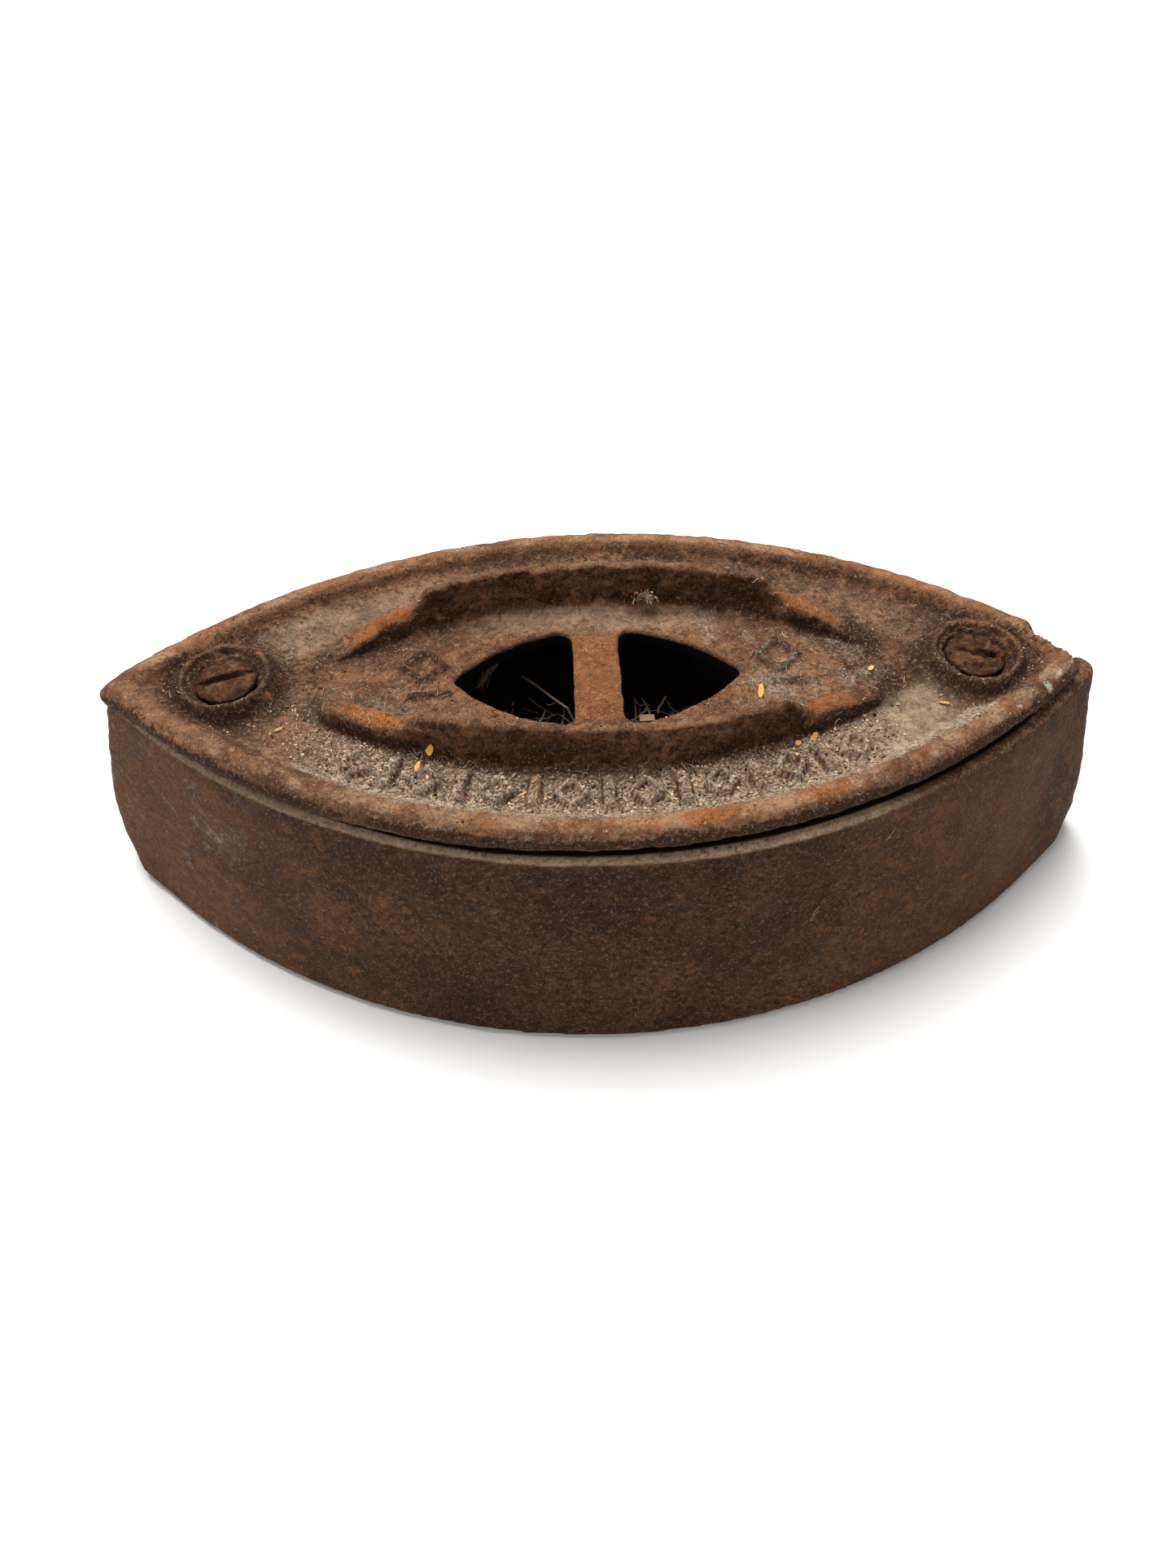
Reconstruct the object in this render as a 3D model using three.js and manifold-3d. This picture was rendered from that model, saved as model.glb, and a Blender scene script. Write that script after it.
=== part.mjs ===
// Double-pointed sad iron, the base without its clip-on handle: a flared hollow casting, a plaster
// filling, and a cap plate held down by two slotted screws.
// Millimetres. +Z is up, the sole rests on z = 0, and X runs from point to point.
import * as THREE from "three";
import { mergeVertices } from "three/addons/utils/BufferGeometryUtils.js";
import Module from "manifold-3d";

const wasm = await Module();
wasm.setup();

// ---- Body casting ----
const SOLE_LENGTH = 167; // from blunted point to blunted point
const SOLE_WIDTH = 80;
const BODY_HEIGHT = 37.5;
const WALL_FLARE = 6.6; // how far the side leans out between rim and sole
const SOLE_EDGE = 0.8; // bevel around the sole
const POINT_BLUNTING = 0.5; // worn off each point of the body and of the cap
const RIM_WALL = 6.5; // wall thickness at the rim
const SOLE_THICKNESS = 20;
const CAVITY_DRAFT = 1.5; // the cavity narrows by this much on its way down to the floor
const SOLID_END = 28.3; // iron left between the cavity and each point, to take the screws
const END_LAND_DROP = 1.5; // the solid ends stop this far below the rim
const HOLE_SPARE = 5; // screw holes run this far below the screws' tips
const THREAD_CLEARANCE = 0.3;

// ---- Cap plate ----
const SEAT_GAP = 0.3; // between the cap and whatever it sits on
const CAP_END_LEDGE = 0.6; // how far the cap stays inside the rim at the points
const CAP_SIDE_LEDGE = 1.3; // and at the middle of each side
const CAP_THICKNESS = 3;
const SPIGOT_CLEARANCE = 1.6; // the cap's underside drops into the cavity with this much room
const SPIGOT_DEPTH = 1.5;
const BEAD_WIDTH = 5;
const BEAD_HEIGHT = 2; // above the dished panel
const BEAD_CREST = 0.4; // flat worn on top of the bead
const BEAD_FILLET = 1; // between the bead and the panel
const CAP_SHIFT_X = -0.4; // the cap was drilled and screwed down a little off square
const CAP_TURN = 0.67; // degrees

// ---- Windows and bridge in the cap ----
const WINDOW_LENGTH = 44;
const WINDOW_WIDTH = 20.6;
const WINDOW_SHIFT = -0.5; // off the cap's middle
const BRIDGE_WIDTH = 7.2;
const BRIDGE_THICKNESS = 2.5; // the handle's latch hooks under it
const WINDOW_CORNER = 2.2; // fillet where the bridge meets the plate

// ---- The two upright ridges that locate the handle ----
const RIDGE_RADIUS = 80; // each ridge follows an arc of this radius in plan
const RIDGE_CREST_Y = 17.2; // crest's distance from the middle
const RIDGE_CREST_WIDTH = 1.5;
const RIDGE_FOOT_WIDTH = 3.4;
const RIDGE_HEIGHT = 7.6; // tall part, above the panel
const TAIL_HEIGHT = 2.6;
const RIDGE_LENGTH = 52; // crest of the tall part
const RAMP_LENGTH = 4; // from the tall part down to a tail
const TAIL_LENGTH = 9.5;
const TAIL_END = 2.5; // slope at the tail's far end

// ---- Screws and their bosses ----
const SCREW_INSET = 18.4; // from the cap's unblunted point to the screw's axis
const SCREW_SHIFT = 0.5; // the middle of the pair, off the cap's middle
const SHANK_RADIUS = 2.3;
const SHANK_LENGTH = 21; // under the head
const THREAD_PITCH = 1.4;
const THREAD_DEPTH = 0.45;
const HEAD_RADIUS = 4.6;
const HEAD_RIM = 1.2;
const HEAD_DOME = 0.7;
const SLOT_WIDTH = 1.2;
const SLOT_DEPTH = 1.1;
const LEFT_SLOT_ANGLE = 18; // degrees from the X axis
const RIGHT_SLOT_ANGLE = -21;
const CAP_HOLE_CLEARANCE = 0.5;
const HEAD_CLEARANCE = 0.7;
const BOSS_WALL = 1.7; // ring around the head, at its foot
const BOSS_HEIGHT = 2.9; // above the panel
const HEAD_SEAT_HEIGHT = 0.4; // floor of the boss, above the panel

// ---- Raised ornament on the panel ----
const ORNAMENT_RELIEF = 0.6;
const ORNAMENT_GAP = 2.8; // from the bead's foot to the row's centre line
const ORNAMENT_PITCH = 5.2;
const ORNAMENT_COUNT = 15;
const LOZENGE_SIZE = 2.3;
const BAR_SIZE = [0.9, 3.8];
const RING_GAP = 5; // from the window's tip to the middle of the small ring beside it
const RING_Y = 2.8;
const RING_RADIUS = 2.6;
const RING_BEAD = 0.9;

// ---- Plaster filling ----
const FILLING_CLEARANCE = 0.3;
const FILLING_TOP_GAP = 0.5; // below the cap's underside
const WELL_END_MARGIN = 7; // the well is this much wider than the window, for the handle's latch
const WELL_SIDE_MARGIN = 5.7;
const WELL_FLOOR = 3; // plaster left under the well
const WELL_DRAFT = 1.5;

// ---- Facets ----
const LONG_ARC_SEGMENTS = 180; // in a whole circle
const SHORT_ARC_SEGMENTS = 72;
const SMALL_ROUND_SEGMENTS = 32;
const OVERRUN = 2; // how far a cutter runs past the face it cuts
const BITE = 0.2; // how far a raised feature starts below the face it grows from

// ---- Worked out from the sizes above ----
const sole = pointedOval(SOLE_LENGTH + 2 * POINT_BLUNTING, SOLE_WIDTH);
const rimRadius = sole.radius - WALL_FLARE;
const cavityRadius = rimRadius - RIM_WALL;
const rimHalfLength = halfLengthOf(rimRadius, sole.offset);
const rimHalfWidth = rimRadius - sole.offset;
const capHalfLength = rimHalfLength - CAP_END_LEDGE;
const capOval = pointedOval(2 * capHalfLength, 2 * (rimHalfWidth - CAP_SIDE_LEDGE));
const capRadius = capOval.radius;
const beadFoot = capRadius - BEAD_WIDTH - BEAD_FILLET;
const cavityLength = 2 * (rimHalfLength - SOLID_END);
const spigotRadius = cavityRadius - SPIGOT_CLEARANCE;
const landTop = BODY_HEIGHT - END_LAND_DROP;
const capSeat = BODY_HEIGHT + SEAT_GAP;
const capUnderside = capSeat - SPIGOT_DEPTH;
const panelTop = capUnderside + CAP_THICKNESS;
const beadTop = panelTop + BEAD_HEIGHT;
const headSeat = panelTop + HEAD_SEAT_HEIGHT;
const shankHole = SHANK_RADIUS + THREAD_CLEARANCE;
const capHole = SHANK_RADIUS + CAP_HOLE_CLEARANCE;
const headRecess = HEAD_RADIUS + HEAD_CLEARANCE;

// A pointed oval is what two equal discs share. Each disc's centre lies off the middle line.
function pointedOval(length, width) {
  const radius = (length * length + width * width) / (4 * width);
  return { radius, offset: radius - width / 2 };
}

// How far the shared part of two discs of this radius reaches along X.
function halfLengthOf(radius, offset) {
  return Math.sqrt(radius * radius - offset * offset);
}

// A geometry as a manifold solid.
function solid(geometry) {
  const bare = geometry.clone();
  bare.deleteAttribute("normal");
  bare.deleteAttribute("uv");
  const merged = mergeVertices(bare);
  return new wasm.Manifold(
    new wasm.Mesh({
      numProp: 3,
      vertProperties: merged.attributes.position.array,
      triVerts: new Uint32Array(merged.index.array),
    }),
  );
}

// A manifold solid as a geometry.
function geometryOf(made) {
  const mesh = made.getMesh();
  const geometry = new THREE.BufferGeometry();
  geometry.setAttribute("position", new THREE.BufferAttribute(mesh.vertProperties, 3));
  geometry.setIndex(new THREE.BufferAttribute(mesh.triVerts, 1));
  geometry.computeVertexNormals();
  return geometry;
}

// Turns a profile of [radius, height] points, listed from the bottom up, about the Z axis.
function turned(profile, segments) {
  const points = profile.map(([radius, height]) => new THREE.Vector2(radius, height));
  return new THREE.LatheGeometry(points, segments).rotateX(Math.PI / 2);
}

// A solid whose plan is a pointed oval: the common part of two turned discs.
function ovalSolid(profile, offset, segments = LONG_ARC_SEGMENTS) {
  const front = solid(turned(profile, segments).translate(0, offset, 0));
  const back = solid(turned(profile, segments).translate(0, -offset, 0));
  return front.intersect(back);
}

// A disc that leans evenly from one radius to another.
function disc(lowRadius, lowHeight, highRadius, highHeight) {
  return [
    [0, lowHeight],
    [lowRadius, lowHeight],
    [highRadius, highHeight],
    [0, highHeight],
  ];
}

function block(width, depth, low, high) {
  return new THREE.BoxGeometry(width, depth, high - low).translate(0, 0, (low + high) / 2);
}

// Where the cap sits on the body. The body's screw holes were drilled through the cap.
function capPlacing() {
  const turn = new THREE.Matrix4().makeRotationZ(THREE.MathUtils.degToRad(CAP_TURN));
  return turn.setPosition(CAP_SHIFT_X, 0, 0);
}

// Both screw axes on the cap, with a name for each.
function screwPlaces() {
  const reach = capHalfLength - SCREW_INSET;
  return [
    { side: "left", x: SCREW_SHIFT - reach, slotAngle: LEFT_SLOT_ANGLE },
    { side: "right", x: SCREW_SHIFT + reach, slotAngle: RIGHT_SLOT_ANGLE },
  ];
}

// ---- Body casting ----

function bodyShell() {
  const profile = [
    [0, 0],
    [sole.radius - SOLE_EDGE, 0],
    [sole.radius, SOLE_EDGE],
    [rimRadius, BODY_HEIGHT],
    [0, BODY_HEIGHT],
  ];
  const rimTip = rimHalfLength - POINT_BLUNTING;
  const blunting = disc(SOLE_LENGTH / 2, 0, rimTip, BODY_HEIGHT);
  return ovalSolid(profile, sole.offset).intersect(solid(turned(blunting, LONG_ARC_SEGMENTS)));
}

// The cavity's pointed oval at a given clearance, between two heights.
function cavityOval(clearance, low, high) {
  const slope = CAVITY_DRAFT / (BODY_HEIGHT - SOLE_THICKNESS);
  const radiusAt = (z) => cavityRadius - clearance - slope * (BODY_HEIGHT - z);
  return ovalSolid(disc(radiusAt(low), low, radiusAt(high), high), sole.offset);
}

function bodyCavity() {
  const top = BODY_HEIGHT + OVERRUN;
  const pit = solid(block(cavityLength, SOLE_WIDTH, SOLE_THICKNESS, top));
  return cavityOval(0, SOLE_THICKNESS, top).intersect(pit).add(cavityOval(0, landTop, top));
}

function bodyCasting() {
  let made = bodyShell().subtract(bodyCavity());
  const bottom = headSeat - SHANK_LENGTH - HOLE_SPARE;
  const hole = disc(shankHole, bottom, shankHole, BODY_HEIGHT + OVERRUN);
  for (const place of screwPlaces()) {
    const cutter = turned(hole, SMALL_ROUND_SEGMENTS).translate(place.x, 0, 0);
    made = made.subtract(solid(cutter.applyMatrix4(capPlacing())));
  }
  return made;
}

// ---- Cap plate ----

// The cap before anything is raised on it or cut through it: rim bead, dished panel and spigot.
function capBlank() {
  const shoulder = beadTop - BEAD_HEIGHT;
  const outer = [
    [0, capSeat],
    [capRadius - 0.4, capSeat],
    [capRadius, capSeat + 0.5],
    [capRadius, shoulder],
    ...arcPoints(capRadius - BEAD_WIDTH / 2, shoulder, BEAD_WIDTH / 2, BEAD_HEIGHT, 20, 90, 4),
    [0, beadTop],
  ];
  const dish = [
    [0, panelTop],
    [beadFoot, panelTop],
    [capRadius - BEAD_WIDTH, panelTop + 0.3],
    ...arcPoints(capRadius - BEAD_WIDTH / 2, shoulder, BEAD_WIDTH / 2, BEAD_HEIGHT, 150, 115, 2),
    [capRadius - BEAD_WIDTH / 2 - BEAD_CREST, beadTop + OVERRUN],
    [0, beadTop + OVERRUN],
  ];
  const tip = capHalfLength - POINT_BLUNTING;
  const blunting = disc(tip, capSeat - OVERRUN, tip, beadTop + OVERRUN);
  const spigot = disc(spigotRadius, capUnderside, spigotRadius, capSeat + BITE);
  return ovalSolid(outer, capOval.offset)
    .subtract(ovalSolid(dish, capOval.offset))
    .intersect(solid(turned(blunting, LONG_ARC_SEGMENTS)))
    .add(ovalSolid(spigot, sole.offset));
}

// Points on an elliptical arc, from one angle to another in degrees.
function arcPoints(centreRadius, centreHeight, halfWidth, height, from, to, steps) {
  const points = [];
  for (let i = 0; i <= steps; i++) {
    const angle = THREE.MathUtils.degToRad(from + ((to - from) * i) / steps);
    points.push([centreRadius + halfWidth * Math.cos(angle), centreHeight + height * Math.sin(angle)]);
  }
  return points;
}

// One side's elevation of a ridge: tail, ramp, tall part, ramp, tail.
function ridgeElevation() {
  const half = RIDGE_LENGTH / 2;
  const ramp = half + RAMP_LENGTH;
  const tail = ramp + TAIL_LENGTH;
  const end = tail + TAIL_END;
  const low = panelTop - BITE;
  const shape = new THREE.Shape();
  shape.moveTo(-end, low);
  shape.lineTo(end, low);
  shape.lineTo(tail, panelTop + TAIL_HEIGHT);
  shape.lineTo(ramp, panelTop + TAIL_HEIGHT);
  shape.lineTo(half, panelTop + RIDGE_HEIGHT);
  shape.lineTo(-half, panelTop + RIDGE_HEIGHT);
  shape.lineTo(-ramp, panelTop + TAIL_HEIGHT);
  shape.lineTo(-tail, panelTop + TAIL_HEIGHT);
  shape.closePath();
  const depth = SOLE_WIDTH;
  const slab = new THREE.ExtrudeGeometry(shape, { depth, bevelEnabled: false });
  return slab.rotateX(Math.PI / 2).translate(0, depth, 0);
}

// The ridge on the back side, or on the front side when side is -1.
function ridge(side) {
  const foot = RIDGE_FOOT_WIDTH / 2;
  const crest = RIDGE_CREST_WIDTH / 2;
  const low = panelTop - BITE;
  const high = panelTop + RIDGE_HEIGHT;
  const wall = [
    [RIDGE_RADIUS - foot, low],
    [RIDGE_RADIUS + foot, low],
    [RIDGE_RADIUS + crest, high],
    [RIDGE_RADIUS - crest, high],
    [RIDGE_RADIUS - foot, low],
  ];
  const centre = RIDGE_CREST_Y - RIDGE_RADIUS;
  const hoop = turned(wall, LONG_ARC_SEGMENTS).translate(0, side * centre, 0);
  const elevation = ridgeElevation();
  if (side < 0) elevation.rotateZ(Math.PI);
  return solid(hoop).intersect(solid(elevation));
}

// The plan of one window, with rounded corners beside the bridge. side is 1 for the right one.
function windowCutter(side) {
  const oval = pointedOval(WINDOW_LENGTH, WINDOW_WIDTH);
  const low = capUnderside - OVERRUN;
  const high = panelTop + OVERRUN;
  const lens = ovalSolid(disc(oval.radius, low, oval.radius, high), oval.offset, SHORT_ARC_SEGMENTS);
  const edge = BRIDGE_WIDTH / 2;
  const halfWidth = windowHalfWidthAt(edge + WINDOW_CORNER);
  const shape = new THREE.Shape();
  shape.moveTo(edge + WINDOW_CORNER, -halfWidth);
  shape.lineTo(WINDOW_LENGTH, -WINDOW_WIDTH);
  shape.lineTo(WINDOW_LENGTH, WINDOW_WIDTH);
  shape.lineTo(edge + WINDOW_CORNER, halfWidth);
  shape.quadraticCurveTo(edge, halfWidth, edge, halfWidth - WINDOW_CORNER);
  shape.lineTo(edge, WINDOW_CORNER - halfWidth);
  shape.quadraticCurveTo(edge, -halfWidth, edge + WINDOW_CORNER, -halfWidth);
  const options = { depth: high - low, bevelEnabled: false, curveSegments: 5 };
  const stop = new THREE.ExtrudeGeometry(shape, options).translate(0, 0, low);
  if (side < 0) stop.rotateZ(Math.PI);
  return lens.intersect(solid(stop));
}

// Half the windows' width, this far along X from their middle.
function windowHalfWidthAt(x) {
  const oval = pointedOval(WINDOW_LENGTH, WINDOW_WIDTH);
  return halfLengthOf(oval.radius, x) - oval.offset;
}

// Thins the bridge from below, between its flared ends.
function bridgeRelief() {
  const width = BRIDGE_WIDTH + 2 * BITE;
  const length = 2 * (windowHalfWidthAt(BRIDGE_WIDTH / 2 + WINDOW_CORNER) - WINDOW_CORNER);
  return block(width, length, capUnderside - OVERRUN, panelTop - BRIDGE_THICKNESS);
}

function bossRing() {
  const foot = headRecess + BOSS_WALL;
  return turned(
    [
      [0, panelTop - BITE],
      [foot + 0.3, panelTop - BITE],
      [foot, panelTop + 0.6],
      [foot - 0.5, panelTop + BOSS_HEIGHT - 0.4],
      [foot - 0.9, panelTop + BOSS_HEIGHT],
      [0, panelTop + BOSS_HEIGHT],
    ],
    SMALL_ROUND_SEGMENTS,
  );
}

// Counterbore for the head, and the loose hole for the shank.
function bossCutter() {
  return turned(
    [
      [0, capUnderside - OVERRUN],
      [capHole, capUnderside - OVERRUN],
      [capHole, headSeat],
      [headRecess, headSeat],
      [headRecess + 0.3, panelTop + BOSS_HEIGHT + OVERRUN],
      [0, panelTop + BOSS_HEIGHT + OVERRUN],
    ],
    SMALL_ROUND_SEGMENTS,
  );
}

// Raised lozenges and short bars by turns, along the front of the panel.
function ornamentRow() {
  const low = panelTop - BITE;
  const high = panelTop + ORNAMENT_RELIEF;
  const radius = beadFoot - ORNAMENT_GAP;
  const pieces = [];
  for (let i = 0; i < ORNAMENT_COUNT; i++) {
    const angle = ((i - (ORNAMENT_COUNT - 1) / 2) * ORNAMENT_PITCH) / radius;
    const isLozenge = i % 2 === 0;
    const piece = isLozenge
      ? block(LOZENGE_SIZE, LOZENGE_SIZE, low, high).rotateZ(Math.PI / 4)
      : block(BAR_SIZE[0], BAR_SIZE[1], low, high);
    pieces.push(piece.translate(0, -radius, 0).rotateZ(angle).translate(0, capOval.offset, 0));
  }
  return pieces;
}

function smallRing() {
  const half = RING_BEAD / 2;
  const low = panelTop - BITE;
  const high = panelTop + ORNAMENT_RELIEF;
  return turned(
    [
      [RING_RADIUS - half, low],
      [RING_RADIUS + half, low],
      [RING_RADIUS, high],
      [RING_RADIUS - half, low],
    ],
    SMALL_ROUND_SEGMENTS,
  );
}

function capPlate() {
  let made = capBlank().add(ridge(1)).add(ridge(-1));
  for (const piece of ornamentRow()) {
    made = made.add(solid(piece));
  }
  for (const side of [-1, 1]) {
    const x = side * (WINDOW_LENGTH / 2 + RING_GAP);
    made = made.add(solid(smallRing().translate(x, RING_Y, 0)));
  }
  for (const place of screwPlaces()) {
    made = made.add(solid(bossRing().translate(place.x, 0, 0)));
    made = made.subtract(solid(bossCutter().translate(place.x, 0, 0)));
  }
  for (const side of [-1, 1]) {
    const cutter = geometryOf(windowCutter(side)).translate(WINDOW_SHIFT, 0, 0);
    made = made.subtract(solid(cutter));
  }
  return made.subtract(solid(bridgeRelief().translate(WINDOW_SHIFT, 0, 0)));
}

// ---- Plaster filling ----

function insulatingFilling() {
  const low = SOLE_THICKNESS + FILLING_CLEARANCE;
  const high = capUnderside - FILLING_TOP_GAP;
  const length = cavityLength - 2 * FILLING_CLEARANCE;
  const slab = solid(block(length, SOLE_WIDTH, low - OVERRUN, high + OVERRUN));
  const wellLength = WINDOW_LENGTH + 2 * WELL_END_MARGIN;
  const wellWidth = WINDOW_WIDTH + 2 * WELL_SIDE_MARGIN;
  const well = pointedOval(wellLength, wellWidth);
  const wellDisc = disc(well.radius - WELL_DRAFT, low + WELL_FLOOR, well.radius, high + OVERRUN);
  return cavityOval(FILLING_CLEARANCE, low, high)
    .intersect(slab)
    .subtract(ovalSolid(wellDisc, well.offset, SHORT_ARC_SEGMENTS));
}

// ---- Screws ----

// Profile of the shank from its tip to the head, with a ridge for each turn of thread.
function threadProfile() {
  const core = SHANK_RADIUS - THREAD_DEPTH;
  const points = [[0, -SHANK_LENGTH]];
  const turns = Math.floor((SHANK_LENGTH - 2 * THREAD_PITCH) / THREAD_PITCH);
  points.push([core - 0.5, -SHANK_LENGTH]);
  for (let i = 0; i < turns; i++) {
    const root = -SHANK_LENGTH + (i + 0.5) * THREAD_PITCH;
    points.push([core, root]);
    points.push([SHANK_RADIUS, root + THREAD_PITCH / 2]);
  }
  points.push([core, -SHANK_LENGTH + (turns + 0.5) * THREAD_PITCH]);
  points.push([SHANK_RADIUS, -THREAD_PITCH]);
  return points;
}

function capScrew(slotAngle) {
  const top = HEAD_RIM + HEAD_DOME;
  const profile = [
    ...threadProfile(),
    [SHANK_RADIUS, 0],
    [HEAD_RADIUS - 0.3, 0],
    [HEAD_RADIUS, 0.3],
    [HEAD_RADIUS, HEAD_RIM],
    [HEAD_RADIUS * 0.75, HEAD_RIM + HEAD_DOME * 0.6],
    [HEAD_RADIUS * 0.4, top],
    [0, top],
  ];
  const slot = block(3 * HEAD_RADIUS, SLOT_WIDTH, top - SLOT_DEPTH, top + OVERRUN);
  slot.rotateZ(THREE.MathUtils.degToRad(slotAngle));
  return solid(turned(profile, SMALL_ROUND_SEGMENTS / 2)).subtract(solid(slot));
}

// ---- Scene graph ----

function ironMaterial(color, roughness) {
  return new THREE.MeshStandardMaterial({ color, roughness, metalness: 0.6 });
}

function addPart(parent, name, made, material) {
  const mesh = new THREE.Mesh(geometryOf(made), material);
  mesh.name = name;
  parent.add(mesh);
  return mesh;
}

const sadIron = new THREE.Group();
addPart(sadIron, "body_casting", bodyCasting(), ironMaterial(0x4a3226, 0.85));
addPart(
  sadIron,
  "insulating_filling",
  insulatingFilling(),
  new THREE.MeshStandardMaterial({ color: 0x4d4338, roughness: 1, metalness: 0 }),
);

const cap = new THREE.Group();
cap.applyMatrix4(capPlacing());
addPart(cap, "cap_plate", capPlate(), ironMaterial(0x6b4d3a, 0.9));
for (const place of screwPlaces()) {
  const material = ironMaterial(0x7a5138, 0.85);
  const screw = addPart(cap, `${place.side}_cap_screw`, capScrew(place.slotAngle), material);
  screw.position.set(place.x, 0, headSeat + SEAT_GAP);
}
sadIron.add(cap);

export default sadIron;
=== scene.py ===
# %% [markdown]
# # A rusted sad iron
# This lesson dresses a flat iron of the kind that was heated on a stove: a hollow cast body with two
# points, a plaster filling, and a cast cap held down by two slotted screws. It stood in a shed for
# decades, so everything is rust, grime and dust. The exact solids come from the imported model. Each
# is copied, given the soft corners of a sand casting, worn and pitted, and painted with node
# materials. The copies replace the plain solids and ride on the same bodies.

import itertools
import math
from types import SimpleNamespace

import bpy
import bmesh
import numpy as np
from mathutils import Matrix, Vector
from mathutils.bvhtree import BVHTree


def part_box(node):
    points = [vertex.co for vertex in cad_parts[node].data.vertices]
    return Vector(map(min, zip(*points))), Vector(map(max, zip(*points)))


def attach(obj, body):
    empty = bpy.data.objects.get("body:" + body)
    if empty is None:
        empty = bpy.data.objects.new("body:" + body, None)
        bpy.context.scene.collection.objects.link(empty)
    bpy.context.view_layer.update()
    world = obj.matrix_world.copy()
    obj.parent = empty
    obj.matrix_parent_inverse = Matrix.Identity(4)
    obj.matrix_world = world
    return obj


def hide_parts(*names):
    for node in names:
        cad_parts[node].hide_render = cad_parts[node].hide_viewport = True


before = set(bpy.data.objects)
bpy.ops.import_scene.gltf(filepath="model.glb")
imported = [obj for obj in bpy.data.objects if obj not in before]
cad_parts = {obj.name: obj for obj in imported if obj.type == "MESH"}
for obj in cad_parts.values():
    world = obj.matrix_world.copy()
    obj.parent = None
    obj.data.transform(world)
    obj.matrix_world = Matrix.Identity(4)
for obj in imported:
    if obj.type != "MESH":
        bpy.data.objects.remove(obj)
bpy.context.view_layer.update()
MM = 0.001  # Blender works in metres, and this iron is easier to think of in millimetres

# %% [markdown]
# ## The camera
# The iron is seen from above its long side, close up, so the lens is wide and the near wall looks
# taller than the far one. A camera can be placed by a point that it looks at, a compass angle, a
# height angle and a distance. That is easier to adjust than three coordinates and three rotations.

# %% Camera
LOOK_AT = Vector((-2.38, 0, 13.37)) * MM
CAMERA_AZIMUTH = math.radians(1.84)
CAMERA_HEIGHT = math.radians(50.92)
CAMERA_ROLL = math.radians(-0.23)
CAMERA_DISTANCE = 191.62 * MM
SENSOR_WIDTH = 36
LENS = 26.07  # both in millimetres
NEAREST = 10 * MM  # nothing closer than this is drawn


def place_camera():
    camera = bpy.data.objects.new("camera", bpy.data.cameras.new("camera"))
    bpy.context.scene.collection.objects.link(camera)
    level = math.cos(CAMERA_HEIGHT)
    ahead = Vector((
        math.sin(CAMERA_AZIMUTH) * level,
        math.cos(CAMERA_AZIMUTH) * level,
        -math.sin(CAMERA_HEIGHT),
    ))
    right = Vector((math.cos(CAMERA_AZIMUTH), -math.sin(CAMERA_AZIMUTH), 0))
    up = right.cross(ahead)
    turn = Matrix.Rotation(CAMERA_ROLL, 3, "Z")
    axes = Matrix((right, up, -ahead)).transposed() @ turn
    camera.matrix_world = Matrix.Translation(LOOK_AT - ahead * CAMERA_DISTANCE) @ axes.to_4x4()
    camera.data.sensor_width = SENSOR_WIDTH
    camera.data.lens = LENS
    camera.data.clip_start = NEAREST
    bpy.context.scene.camera = camera
    return camera


camera = place_camera()
print("camera stands at, mm:", [round(v / MM, 1) for v in camera.matrix_world.translation])

# %% [markdown]
# ## Floor and light
# A plain pale floor and big soft lamps keep attention on the iron. The strongest lamp hangs above
# and a little behind it, so the top of the cap is bright while the wall and the ridges' faces that
# look at the camera fall into shade, which shows the relief. The Standard view transform shows
# colours as they are mixed.

# %% Floor and lamps
FLOOR_WIDTH = 6.0
FLOOR_GAP = 0.1 * MM  # keeps the floor just under the sole
LAMPS = (  # name, place and aim in metres, width, power
    ("top lamp", (-0.12, 0.30, 0.85), (0, 0, 0.03), 0.45, 12.5),
    ("side lamp", (-0.9, -0.4, 0.45), (0, 0, 0.02), 0.6, 3.0),
    ("far lamp", (0.9, -0.2, 0.5), (0, 0, 0.02), 0.6, 1.7),
)
SKY_STRENGTH = 0.27


def tone(text):
    """A colour such as "8a6040", as the linear numbers that shaders use."""
    shares = [int(text[i:i + 2], 16) / 255 for i in (0, 2, 4)]
    return [s / 12.92 if s <= 0.04045 else ((s + 0.055) / 1.055) ** 2.4 for s in shares]


def plain_material(name, colour, roughness):
    material = bpy.data.materials.new(name)
    material.use_nodes = True
    shader = material.node_tree.nodes["Principled BSDF"]
    shader.inputs["Base Color"].default_value = (*colour, 1)
    shader.inputs["Roughness"].default_value = roughness
    return material


def make_floor():
    mesh = bpy.data.meshes.new("floor")
    shape = bmesh.new()
    bmesh.ops.create_grid(shape, x_segments=8, y_segments=8, size=FLOOR_WIDTH / 2)
    shape.to_mesh(mesh)
    shape.free()
    floor = bpy.data.objects.new("floor", mesh)
    floor.location.z = -FLOOR_GAP
    bpy.context.scene.collection.objects.link(floor)
    mesh.materials.append(plain_material("pale floor", tone("f4f3f1"), 0.9))
    return floor


def lamp(name, place, aim, width, power):
    """A square soft lamp."""
    light = bpy.data.lights.new(name, "AREA")
    light.size = width
    light.energy = power
    holder = bpy.data.objects.new(name, light)
    holder.location = place
    holder.rotation_euler = (Vector(aim) - Vector(place)).to_track_quat("-Z", "Y").to_euler()
    bpy.context.scene.collection.objects.link(holder)
    return holder


def make_sky():
    """Even white light from all round."""
    world = bpy.data.worlds.new("studio")
    bpy.context.scene.world = world
    world.use_nodes = True
    background = world.node_tree.nodes["Background"]
    background.inputs["Color"].default_value = (1, 1, 1, 1)
    background.inputs["Strength"].default_value = SKY_STRENGTH


make_floor()
for settings in LAMPS:
    lamp(*settings)
make_sky()
bpy.context.scene.view_settings.view_transform = "Standard"

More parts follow.
